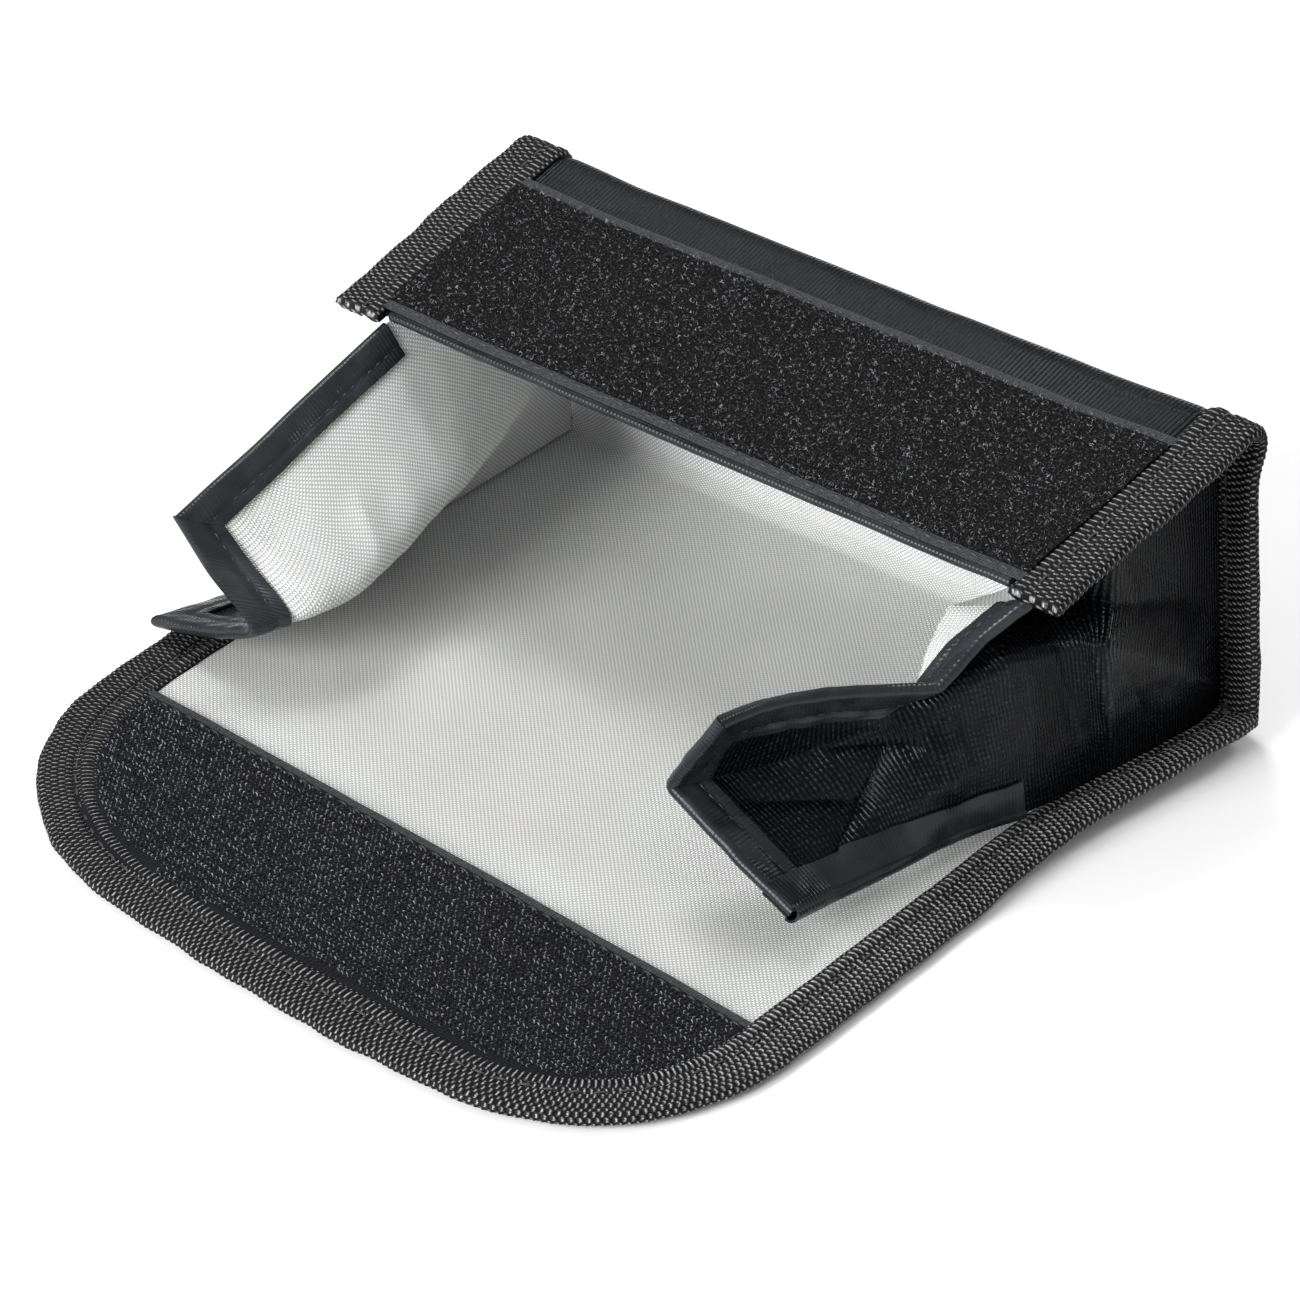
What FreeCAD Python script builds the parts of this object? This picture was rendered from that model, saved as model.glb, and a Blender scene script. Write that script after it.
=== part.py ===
import FreeCAD, Part
import math
import os

import Sketcher
from FreeCAD import Matrix, Placement, Vector

# A fire-safe pouch for lithium battery packs, lying on its back panel with the flap laid open.
# Frame: X along the long side, Y towards the base of the bag, Z up. The origin is the middle of
# the back panel's underside, so the mouth is at y = -bag_depth / 2 and the flap runs on past it.
# All lengths are in millimetres and all angles in degrees.
DRIVING_SIZES = {
    "bag_length": 185,
    "bag_depth": 60,
    "mouth_rise": 56.6,
    "front_slope": 13.5,
    "corner_radius": 5,
    "base_wrap": 8,
    "cloth_gauge": 0.8,
    "lining_gauge": 0.8,
    "binding_width": 12,
    "body_binding_gauge": 3.5,
    "flap_binding_gauge": 2.6,
    "cover_length": 54.6,
    "tongue_length": 73.9,
    "left_flap_radius": 57,
    "right_flap_radius": 43,
    "fold_gap": 0.3,
    "fold_height": 3.2,
    "hook_start": 76,
    "hook_gauge": 1.2,
    "loop_depth": 48.5,
    "loop_gauge": 1.2,
    "mouth_hem_width": 8,
    "mouth_hem_gauge": 0.8,
    "seam_inset": 1,
    "ear_gap": 0.6,
    "ear_lift": 0.9,
    "ear_hem_width": 9.5,
    "ear_hem_gauge": 2.4,
    "hem_clearance": 0.2,
    "thread_length": 3.4,
    "thread_pitch": 5,
    "thread_width": 0.8,
    "thread_gauge": 0.3,
    "thread_lift": 0.05,
}

doc = FreeCAD.newDocument("lipo_safe_bag")
sheet = doc.addObject("Spreadsheet::Sheet", "sizes")
for row, (alias, value) in enumerate(DRIVING_SIZES.items(), start=1):
    sheet.set(f"A{row}", alias)
    sheet.set(f"B{row}", str(value))
    sheet.setAlias(f"B{row}", alias)
doc.recompute()

sub_parts = []


def size(alias):
    """The value of one driving dimension, as the sheet holds it."""
    return float(getattr(sheet, alias))


# ---------------------------------------------------------------- sketched bodies

# Lengths that several sketches share, written in the sheet's own names.
HALF_LENGTH = "sizes.bag_length / 2"
INNER_HALF = "(sizes.bag_length / 2 - sizes.binding_width)"
MOUTH = "(-sizes.bag_depth / 2)"
REAR = "(sizes.bag_depth / 2)"
REAR_RISE = "(sizes.mouth_rise + sizes.bag_depth * tan(sizes.front_slope))"
FOLD_START = "(-sizes.bag_depth / 2 - sizes.fold_gap)"
COVER_END = "(-sizes.bag_depth / 2 - sizes.cover_length)"
TONGUE_START = "(-sizes.bag_depth / 2 - sizes.cover_length - sizes.fold_gap)"
FLAP_END = "(-sizes.bag_depth / 2 - sizes.cover_length - sizes.tongue_length)"


def new_body(label):
    """An empty body with its own label, listed as a sub-part."""
    body = doc.addObject("PartDesign::Body", label)
    body.Label = label
    sub_parts.append(body)
    return body


def outline_sketch(body, role, corners, lift):
    """A closed outline on the origin plane with that role, raised by lift.

    Each corner is a pair of expressions, held by two dimensions from the sketch's origin.
    """
    sketch = body.newObject("Sketcher::SketchObject", body.Name + "_outline")
    plane = next(item for item in body.Origin.OriginFeatures if item.Role == role)
    sketch.AttachmentSupport = [(plane, "")]
    sketch.MapMode = "FlatFace"
    sketch.setExpression("AttachmentOffset.Base.z", lift)
    places = [
        Vector(sketch.evalExpression(across), sketch.evalExpression(along), 0)
        for across, along in corners
    ]
    count = len(corners)
    for number, place in enumerate(places):
        sketch.addGeometry(Part.LineSegment(place, places[(number + 1) % count]), False)
    for number in range(count):
        sketch.addConstraint(Sketcher.Constraint("Coincident", number, 2, (number + 1) % count, 1))
    for number, (place, expressions) in enumerate(zip(places, corners)):
        for kind, distance, expression in zip(("DistanceX", "DistanceY"), place, expressions):
            index = sketch.addConstraint(Sketcher.Constraint(kind, -1, 1, number, 1, distance))
            sketch.setExpression(f"Constraints[{index}]", expression)
    return sketch, places


def edges_at(shape, sketch, corner):
    """The names of the straight edges that rise from that corner of a sketch."""
    sketch_frame = sketch.getGlobalPlacement()
    foot = sketch_frame.multVec(corner)
    rise = sketch_frame.Rotation.multVec(Vector(0, 0, 1))
    found = []
    for number, edge in enumerate(shape.Edges, start=1):
        steps = [vertex.Point - foot for vertex in edge.Vertexes]
        if len(steps) == 2 and all(step.cross(rise).Length < 0.001 for step in steps):
            found.append(f"Edge{number}")
    return found


def padded_body(label, role, corners, lift, length, rounded=()):
    """A body padded from one outline, with chosen corners rounded: (corner number, radius)."""
    body = new_body(label)
    sketch, places = outline_sketch(body, role, corners, lift)
    feature = body.newObject("PartDesign::Pad", label + "_pad")
    feature.Profile = sketch
    feature.setExpression("Length", length)
    doc.recompute()
    sketch.Visibility = False
    for number, radius in rounded:
        fillet = body.newObject("PartDesign::Fillet", f"{label}_round_{number}")
        fillet.Base = (feature, edges_at(feature.Shape, sketch, places[number]))
        fillet.setExpression("Radius", radius)
        feature = fillet
        doc.recompute()
    return body


# ---------------------------------------------------------------- side outlines of the strip
#
# One long strip makes the back panel, the base and the front panel. Seen from the side it runs
# along the floor, up the base and back along the sloping front panel. Every layer of it lies
# between two depths under the strip's outer face.


def base_corner(depth, top):
    """The side view's bottom or top corner at the base, that deep inside the outer face."""
    if top:
        height = f"{REAR_RISE} - ({depth}) * (tan(sizes.front_slope) + 1 / cos(sizes.front_slope))"
    else:
        height = depth
    return f"{REAR} - ({depth})", height


def front_point(from_mouth, depth):
    """A point of the front panel: a distance back from the mouth along it, and a depth in it."""
    across = f"{MOUTH} + ({from_mouth}) * cos(sizes.front_slope) + ({depth}) * sin(sizes.front_slope)"
    rise = f"sizes.mouth_rise + ({from_mouth}) * sin(sizes.front_slope) - ({depth}) * cos(sizes.front_slope)"
    return across, rise


def mouth_point(depth):
    """A point on the front panel's mouth edge, cut upright, at a depth under its outer face."""
    return MOUTH, f"sizes.mouth_rise - ({depth}) / cos(sizes.front_slope)"


FRONT_LENGTH = "(sizes.bag_depth / cos(sizes.front_slope))"
FRONT_END = f"({FRONT_LENGTH} - sizes.base_wrap)"
BACK_END = f"({REAR} - sizes.base_wrap)"


def strip_panels(layer, near, far):
    """One layer of the strip as three panels that meet edge to edge."""
    across = f"2 * {INNER_HALF}"
    start = f"-{INNER_HALF}"
    padded_body(
        f"back_panel_{layer}",
        "YZ_Plane",
        [(MOUTH, near), (BACK_END, near), (BACK_END, far), (MOUTH, far)],
        start,
        across,
    )
    padded_body(
        f"base_panel_{layer}",
        "YZ_Plane",
        [
            (BACK_END, near),
            base_corner(near, top=False),
            base_corner(near, top=True),
            front_point(FRONT_END, near),
            front_point(FRONT_END, far),
            base_corner(far, top=True),
            base_corner(far, top=False),
            (BACK_END, far),
        ],
        start,
        across,
        rounded=[
            (1, f"sizes.corner_radius - ({near})"),
            (2, f"sizes.corner_radius - ({near})"),
            (5, f"sizes.corner_radius - ({far})"),
            (6, f"sizes.corner_radius - ({far})"),
        ],
    )
    padded_body(
        f"front_panel_{layer}",
        "YZ_Plane",
        [mouth_point(near), front_point(FRONT_END, near), front_point(FRONT_END, far), mouth_point(far)],
        start,
        across,
    )


strip_panels("cloth", "0", "sizes.cloth_gauge")
strip_panels("lining", "sizes.cloth_gauge", "sizes.cloth_gauge + sizes.lining_gauge")

# The front panel's mouth edge is turned under once, to the inside.
LINED = "(sizes.cloth_gauge + sizes.lining_gauge)"
HEM_FLOOR = f"({LINED} + sizes.mouth_hem_gauge)"
padded_body(
    "front_mouth_hem",
    "YZ_Plane",
    [
        mouth_point(LINED),
        front_point("sizes.mouth_hem_width", LINED),
        front_point("sizes.mouth_hem_width", HEM_FLOOR),
        mouth_point(HEM_FLOOR),
    ],
    f"-{INNER_HALF} + 1.5 * sizes.binding_width",
    f"2 * {INNER_HALF} - 3 * sizes.binding_width",
)

# The soft half of the hook-and-loop closure, sewn on the front panel beside the mouth.
padded_body(
    "loop_strip",
    "YZ_Plane",
    [
        front_point("sizes.loop_gauge", "0"),
        front_point("sizes.loop_depth", "0"),
        front_point("sizes.loop_depth", "-sizes.loop_gauge"),
        front_point("sizes.loop_gauge", "-sizes.loop_gauge"),
    ],
    f"-{INNER_HALF}",
    f"2 * {INNER_HALF}",
)

# A webbing tape is folded over each side edge of the strip and the gusset sewn to it. Each
# binding is one bent bar that holds both edges between the tape's two layers.
DEEP = "sizes.body_binding_gauge"
for side, start in (("left", f"-{HALF_LENGTH}"), ("right", INNER_HALF)):
    padded_body(
        f"{side}_body_binding",
        "YZ_Plane",
        [
            (MOUTH, "0"),
            base_corner("0", top=False),
            base_corner("0", top=True),
            mouth_point("0"),
            mouth_point(DEEP),
            base_corner(DEEP, top=True),
            base_corner(DEEP, top=False),
            (MOUTH, DEEP),
        ],
        start,
        "sizes.binding_width",
        rounded=[
            (1, "sizes.corner_radius"),
            (2, "sizes.corner_radius"),
            (5, f"sizes.corner_radius - {DEEP}"),
            (6, f"sizes.corner_radius - {DEEP}"),
        ],
    )

# ---------------------------------------------------------------- the flap, laid open
#
# The flap is the same strip running on past the mouth. It folds twice to close: the cover
# rises over the mouth and the rounded tongue lies back on the front panel.

LEFT_INNER_RADIUS = "sizes.left_flap_radius - sizes.binding_width"
RIGHT_INNER_RADIUS = "sizes.right_flap_radius - sizes.binding_width"
INNER_END = f"({FLAP_END} + sizes.binding_width)"


def rectangle(low_x, low_y, high_x, high_y):
    """Four corners of a rectangle, starting at its low corner."""
    return [(low_x, low_y), (high_x, low_y), (high_x, high_y), (low_x, high_y)]


TONGUE_FIELD = rectangle(f"-{INNER_HALF}", INNER_END, INNER_HALF, TONGUE_START)
ABOVE_HOOK = rectangle(f"-{HALF_LENGTH}", f"({MOUTH} - sizes.hook_start)", HALF_LENGTH, COVER_END)
COVER_FIELD = rectangle(f"-{INNER_HALF}", COVER_END, INNER_HALF, FOLD_START)

for layer, bottom, gauge in (
    ("cloth", "0", "sizes.cloth_gauge"),
    ("lining", "sizes.cloth_gauge", "sizes.lining_gauge"),
):
    padded_body(f"cover_{layer}", "XY_Plane", COVER_FIELD, bottom, gauge)
    rounds = [(0, LEFT_INNER_RADIUS), (1, RIGHT_INNER_RADIUS)]
    padded_body(f"tongue_{layer}", "XY_Plane", TONGUE_FIELD, bottom, gauge, rounds)

# The hook strip fills the tongue's rounded end, cut off straight along its inner edge.
hook_strip = padded_body("hook_strip", "XY_Plane", TONGUE_FIELD, LINED, "sizes.hook_gauge", rounds)
uncut = hook_strip.Shape.Volume
trim_outline, _ = outline_sketch(hook_strip, "XY_Plane", ABOVE_HOOK, LINED)
trim = hook_strip.newObject("PartDesign::Pocket", "hook_strip_trim")
trim.Profile = trim_outline
trim.Reversed = True
trim.setExpression("Length", "sizes.hook_gauge")
doc.recompute()
trim_outline.Visibility = False
if hook_strip.Shape.Volume >= uncut:
    raise RuntimeError("the hook strip was not cut off along its inner edge")

for side, low_x, high_x in (
    ("left", f"-{HALF_LENGTH}", f"-{INNER_HALF}"),
    ("right", INNER_HALF, HALF_LENGTH),
):
    padded_body(
        f"{side}_cover_binding",
        "XY_Plane",
        rectangle(low_x, COVER_END, high_x, FOLD_START),
        "0",
        "sizes.flap_binding_gauge",
    )

padded_body(
    "tongue_binding",
    "XY_Plane",
    [
        (f"-{HALF_LENGTH}", TONGUE_START),
        (f"-{HALF_LENGTH}", FLAP_END),
        (HALF_LENGTH, FLAP_END),
        (HALF_LENGTH, TONGUE_START),
        (INNER_HALF, TONGUE_START),
        (INNER_HALF, INNER_END),
        (f"-{INNER_HALF}", INNER_END),
        (f"-{INNER_HALF}", TONGUE_START),
    ],
    "0",
    "sizes.flap_binding_gauge",
    rounded=[
        (1, "sizes.left_flap_radius"),
        (2, "sizes.right_flap_radius"),
        (5, RIGHT_INNER_RADIUS),
        (6, LEFT_INNER_RADIUS),
    ],
)

# ---------------------------------------------------------------- folded gussets and ears
#
# A gusset closes each end of the bag and runs on past the mouth as a free ear. Both are nets of
# points: rows from the base towards the ear's front edge, each row from the floor to the top.
# Inset is how far a point lies inwards from the side seam, and negative is outwards.

HALF = size("bag_length") / 2 - size("binding_width")
SEAM = HALF + size("seam_inset")
MOUTH_Y = -size("bag_depth") / 2
SLOPE = math.radians(size("front_slope"))
GUSSET_FOOT = size("body_binding_gauge")


def gusset_top(y):
    """The height of the front binding's underside, where the gusset's top edge is sewn in."""
    under = size("body_binding_gauge") / math.cos(SLOPE)
    return size("mouth_rise") - under + (y - MOUTH_Y) * math.tan(SLOPE)


# Gusset rows: distance back from the mouth, then (inset, share of the gusset's height).
REAR_ROW = size("bag_depth") - size("body_binding_gauge")
STRAIGHT = [(0, 0), (0, 0.25), (0, 0.5), (0, 0.75), (0, 1)]
GUSSET_FOLDS = {
    "left": [
        (REAR_ROW, STRAIGHT),
        (30, [(0, 0), (5.5, 0.25), (13.5, 0.5), (6.5, 0.75), (0, 1)]),
        (0, [(0, 0), (11.5, 0.22), (23, 0.48), (11.5, 0.76), (0, 1)]),
    ],
    "right": [
        (REAR_ROW, STRAIGHT),
        (30, [(0, 0), (0.5, 0.22), (2.5, 0.45), (1.5, 0.72), (0, 1)]),
        (15, [(0, 0), (1.5, 0.28), (4.5, 0.58), (15.5, 0.74), (0, 1)]),
        (0, [(0, 0), (2.5, 0.34), (5.5, 0.7), (19.5, 0.82), (0, 1)]),
    ],
}

# Ear rows past the mouth: (reach beyond the mouth, inset, height).
EAR_FOLDS = {
    "left": [
        [(20, -1.5, 4.6), (20, 11.5, 11), (20, 27, 24), (20, 14.5, 37), (20, 1, 49)],
        [(40, -5.5, 5.4), (40, 11.5, 10), (40, 28.5, 21), (40, 15.5, 33), (40, 2.5, 44.5)],
        [(59, -10.5, 6), (60, 3.5, 10), (61, 18.5, 18), (63, 9.5, 28), (64, 3, 39.5)],
    ],
    "right": [
        [(14, 5, 4.4), (14, 6.5, 18), (13.5, 11.5, 31.5), (12, 20, 33), (14.5, 9.5, 38)],
        [(28, 7.5, 5), (29, 14.5, 16), (29, 25.5, 26), (30, 24.5, 33), (31, 23.5, 40)],
        [(45, 10.5, 4.4), (44, 21.5, 14), (42, 35, 22.5), (43, 32.5, 32), (43, 29, 41)],
        [(60.5, 8, 10), (58, 24.5, 15), (55, 41.5, 23), (57, 37.5, 33), (53.5, 30.5, 42)],
    ],
}


def gusset_net(side):
    """Rows of points over one gusset, from the base panel to the mouth."""
    outwards = -1 if side == "left" else 1
    net = []
    for back, row in GUSSET_FOLDS[side]:
        y = MOUTH_Y + back
        height = gusset_top(y) - GUSSET_FOOT
        net.append(
            [Vector(outwards * (SEAM - inset), y, GUSSET_FOOT + share * height) for inset, share in row]
        )
    return net


def ear_net(side):
    """Rows of points over one ear, from the mouth to its front edge."""
    outwards = -1 if side == "left" else 1
    first = [point - Vector(0, size("ear_gap"), 0) for point in gusset_net(side)[-1]]
    first[0].z += size("ear_lift")
    net = [first]
    for row in EAR_FOLDS[side]:
        net.append(
            [Vector(outwards * (SEAM - inset), MOUTH_Y - reach, height) for reach, inset, height in row]
        )
    return net


def turned(net):
    """The same net with its rows and columns exchanged."""
    return [list(column) for column in zip(*net)]


def middle_row(net, gap):
    """A row half way across one gap of the net, on a smooth curve through the rows near it."""
    before, after = net[gap], net[gap + 1]
    outer_before = net[gap - 1] if gap > 0 else None
    outer_after = net[gap + 2] if gap + 2 < len(net) else None
    if outer_before is None:
        return [a * 0.375 + b * 0.75 - c * 0.125 for a, b, c in zip(before, after, outer_after)]
    if outer_after is None:
        return [b * 0.75 + c * 0.375 - a * 0.125 for a, b, c in zip(outer_before, before, after)]
    fours = zip(outer_before, before, after, outer_after)
    return [(b + c) * 0.5625 - (a + d) * 0.0625 for a, b, c, d in fours]


def smoothed(net):
    """The net with a new line in the middle of every gap, both ways, so that its folds run smooth."""
    for _ in range(2):
        rows = [net[0]]
        for gap in range(len(net) - 1):
            rows += [middle_row(net, gap), net[gap + 1]]
        net = turned(rows)
    return net


def with_lines(net, places):
    """The net with more rows at those places, counted in rows from its first, and every row's place."""
    rows = {float(number): row for number, row in enumerate(net)}
    for place in places:
        before = int(place)
        part = place - before
        rows[place] = [low + (high - low) * part for low, high in zip(net[before], net[before + 1])]
    order = sorted(rows)
    return [rows[place] for place in order], order


def triangles(net, cells):
    """Two triangles for each cell, as indices (row, column)."""
    found = []
    for row, column in cells:
        a, b = (row, column), (row + 1, column)
        c, d = (row + 1, column + 1), (row, column + 1)
        found += [(a, b, c), (a, c, d)]
    return found


def outward_normals(net, side):
    """A unit vector at each point of the net, out of the bag and square to the sheet in its row.

    Along the sewn or hemmed top and bottom edges it is level, so that those edges keep their height.
    """
    every_cell = [(row, column) for row in range(len(net) - 1) for column in range(len(net[0]) - 1)]
    total = {}
    for corners in triangles(net, every_cell):
        a, b, c = (net[row][column] for row, column in corners)
        square = (b - a).cross(c - a)
        for corner in corners:
            total[corner] = total.get(corner, Vector()) + square
    last_column = len(net[0]) - 1
    outwards = -1 if side == "left" else 1
    turn = 1 if total[(0, last_column // 2)].x * outwards > 0 else -1
    normals = {}
    for corner, square in total.items():
        if corner[1] in (0, last_column):
            normals[corner] = Vector(outwards, 0, 0)
        else:
            normals[corner] = Vector(square.x, 0, square.z).normalize() * turn
    return normals


def sheet_solid(net, side, cells, inner, outer):
    """A closed solid over some cells of the net, from depth inner to depth outer of the sheet."""
    normals = outward_normals(net, side)
    flat = triangles(net, cells)

    def raised(corner, depth):
        row, column = corner
        return net[row][column] + normals[corner] * depth

    def face(points):
        return Part.Face(Part.makePolygon(points + [points[0]]))

    faces = [face([raised(corner, depth) for corner in three]) for three in flat for depth in (inner, outer)]
    uses = {}
    for three in flat:
        for start, end in zip(three, three[1:] + three[:1]):
            uses[frozenset((start, end))] = uses.get(frozenset((start, end)), 0) + 1
    for pair, count in uses.items():
        if count == 1:
            start, end = sorted(pair)
            low_start, low_end = raised(start, inner), raised(end, inner)
            high_start, high_end = raised(start, outer), raised(end, outer)
            faces.append(face([low_start, low_end, high_end]))
            faces.append(face([low_start, high_end, high_start]))
    solid = Part.Solid(Part.Shell(faces))
    if solid.Volume < 0:
        solid.reverse()
    return solid


def add_feature(label, shape):
    """A sub-part whose shape is worked out from the sheet's sizes."""
    feature = doc.addObject("Part::Feature", label)
    feature.Label = label
    feature.Shape = shape
    feature.Placement = Placement()
    sub_parts.append(feature)


def all_cells(net):
    """Every cell of a net."""
    return [(row, column) for row in range(len(net) - 1) for column in range(len(net[0]) - 1)]


def hemmed_net(net):
    """The ear's net with lines beside a narrow gap round its field: (net, field cells, hem cells)."""
    height = sum((end - start).Length for start, end in zip(net[-1], net[-1][1:]))
    reach = sum((end[0] - start[0]).Length for start, end in zip(net, net[1:]))
    last_row, last_column = len(net) - 1, len(net[0]) - 1
    row_step, column_step = reach / last_row, height / last_column
    width = size("ear_hem_width")
    inner = width + size("hem_clearance")
    net, rows = with_lines(net, [last_row - width / row_step, last_row - inner / row_step])
    beside = [width / column_step, inner / column_step]
    net, columns = with_lines(turned(net), beside + [last_column - place for place in beside])
    net = turned(net)
    field, hem = [], []
    for row, column in all_cells(net):
        middle = (columns[column] + columns[column + 1]) / 2
        to_front = (last_row - (rows[row] + rows[row + 1]) / 2) * row_step
        to_edge = min(to_front, middle * column_step, (last_column - middle) * column_step)
        if to_edge < width:
            hem.append((row, column))
        elif to_edge > inner:
            field.append((row, column))
    return net, field, hem


cloth = size("cloth_gauge")
lining = size("lining_gauge")
hem_half = size("ear_hem_gauge") / 2
for side in ("left", "right"):
    net = smoothed(gusset_net(side))
    add_feature(f"{side}_gusset_cloth", sheet_solid(net, side, all_cells(net), 0, cloth))
    add_feature(f"{side}_gusset_lining", sheet_solid(net, side, all_cells(net), -lining, 0))
    net, field, hem = hemmed_net(smoothed(ear_net(side)))
    add_feature(f"{side}_ear_cloth", sheet_solid(net, side, field, 0, cloth))
    add_feature(f"{side}_ear_lining", sheet_solid(net, side, field, -lining, 0))
    add_feature(f"{side}_ear_hem", sheet_solid(net, side, hem, -hem_half, hem_half))

# ---------------------------------------------------------------- stitching


def arc_points(centre, radius, first, last):
    """Points round an arc in a flat sheet, every few degrees."""
    count = 12
    angles = [math.radians(first + (last - first) * step / count) for step in range(count + 1)]
    return [centre + Vector(math.cos(angle), math.sin(angle), 0) * radius for angle in angles]


def stitches(points, facing):
    """Flat lengths of thread in a row along a line of points, lying on the face they show on."""
    length, width, gauge = size("thread_length"), size("thread_width"), size("thread_gauge")
    pitch = size("thread_pitch")
    found = []
    spare = pitch / 2
    for start, end in zip(points, points[1:]):
        along = (end - start).normalize()
        across = facing.cross(along).normalize()
        up = along.cross(across)
        run = (end - start).Length
        while spare < run:
            middle = start + along * spare + up * size("thread_lift")
            turn = Matrix()
            for column, axis in enumerate((along, across, up, middle)):
                turn.setCol(column, axis)
            thread = Part.makeBox(length, width, gauge, Vector(-length / 2, -width / 2, 0))
            found.append(thread.transformGeometry(turn))
            spare += pitch
        spare -= run
    return found


UP = Vector(0, 0, 1)
BACKWARDS = Vector(0, 1, 0)
FRONT_UP = Vector(0, -math.sin(SLOPE), math.cos(SLOPE))
FRONT_BACK = Vector(0, math.cos(SLOPE), math.sin(SLOPE))
REAR_Y = size("bag_depth") / 2
MARGIN = size("corner_radius") + size("thread_length")
rear_rise = size("mouth_rise") + size("bag_depth") * math.tan(SLOPE)
front_run = size("bag_depth") / math.cos(SLOPE)
stitch_x = size("bag_length") / 2 - size("binding_width") / 2
flap_top = size("flap_binding_gauge")
cover_end = MOUTH_Y - size("cover_length")
flap_end = cover_end - size("tongue_length")

for side, outwards in (("left", -1), ("right", 1)):
    x = outwards * stitch_x
    on_floor_run = stitches([Vector(x, MOUTH_Y, GUSSET_FOOT), Vector(x, REAR_Y - MARGIN, GUSSET_FOOT)], UP)
    on_rear = stitches([Vector(x, REAR_Y, MARGIN), Vector(x, REAR_Y, rear_rise - MARGIN)], BACKWARDS)
    mouth_top = Vector(x, MOUTH_Y, size("mouth_rise"))
    on_front = stitches([mouth_top, mouth_top + FRONT_BACK * (front_run - MARGIN)], FRONT_UP)
    add_feature(f"{side}_body_stitching", Part.makeCompound(on_floor_run + on_rear + on_front))
    cover_ends = [Vector(x, MOUTH_Y - size("fold_gap"), flap_top), Vector(x, cover_end, flap_top)]
    on_cover = stitches(cover_ends, UP)
    add_feature(f"{side}_cover_stitching", Part.makeCompound(on_cover))

# The flap's row runs down one side of the tongue, round its end and up the other.
row_inset = size("binding_width") / 2
left_row, right_row = (size(f"{side}_flap_radius") - row_inset for side in ("left", "right"))
row_start = cover_end - size("thread_pitch") / 2
row_end = flap_end + row_inset
tongue_row = (
    [Vector(-stitch_x, row_start, flap_top)]
    + arc_points(Vector(left_row - stitch_x, row_end + left_row, flap_top), left_row, 180, 270)
    + arc_points(Vector(stitch_x - right_row, row_end + right_row, flap_top), right_row, 270, 360)
    + [Vector(stitch_x, row_start, flap_top)]
)
add_feature("tongue_stitching", Part.makeCompound(stitches(tongue_row, UP)))

# One row near the straight inner edge of each hook and loop strip, and one at the loop's front.
strip_edge = 2
hook_top = cloth + lining + size("hook_gauge")
hook_y = MOUTH_Y - size("hook_start") - strip_edge
hook_row = [Vector(-HALF + strip_edge, hook_y, hook_top), Vector(HALF - strip_edge, hook_y, hook_top)]
add_feature("hook_strip_stitching", Part.makeCompound(stitches(hook_row, UP)))

loop_threads = []
for from_mouth in (size("loop_gauge") + strip_edge, size("loop_depth") - strip_edge):
    lift = FRONT_BACK * from_mouth + FRONT_UP * size("loop_gauge")
    ends = [Vector(x, MOUTH_Y, size("mouth_rise")) + lift for x in (-HALF + strip_edge, HALF - strip_edge)]
    loop_threads += stitches(ends, FRONT_UP)
add_feature("loop_strip_stitching", Part.makeCompound(loop_threads))

# ---------------------------------------------------------------- check and write

doc.recompute()
for item in doc.Objects:
    if "Invalid" in item.State or "Error" in item.State:
        raise RuntimeError(f"{item.Label} did not rebuild: {item.State}")
for item in sub_parts:
    if item.Shape.isNull() or not item.Shape.isValid() or item.Shape.Volume <= 0:
        raise RuntimeError(f"{item.Label} has no sound solid")

os.makedirs("parts", exist_ok=True)
for item in sub_parts:
    item.Shape.exportStep(f"parts/{item.Label}.step")
print(len(sub_parts), "sub-parts written")
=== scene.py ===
import math
from functools import partial

import bpy
import numpy as np
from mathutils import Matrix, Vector, noise


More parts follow.
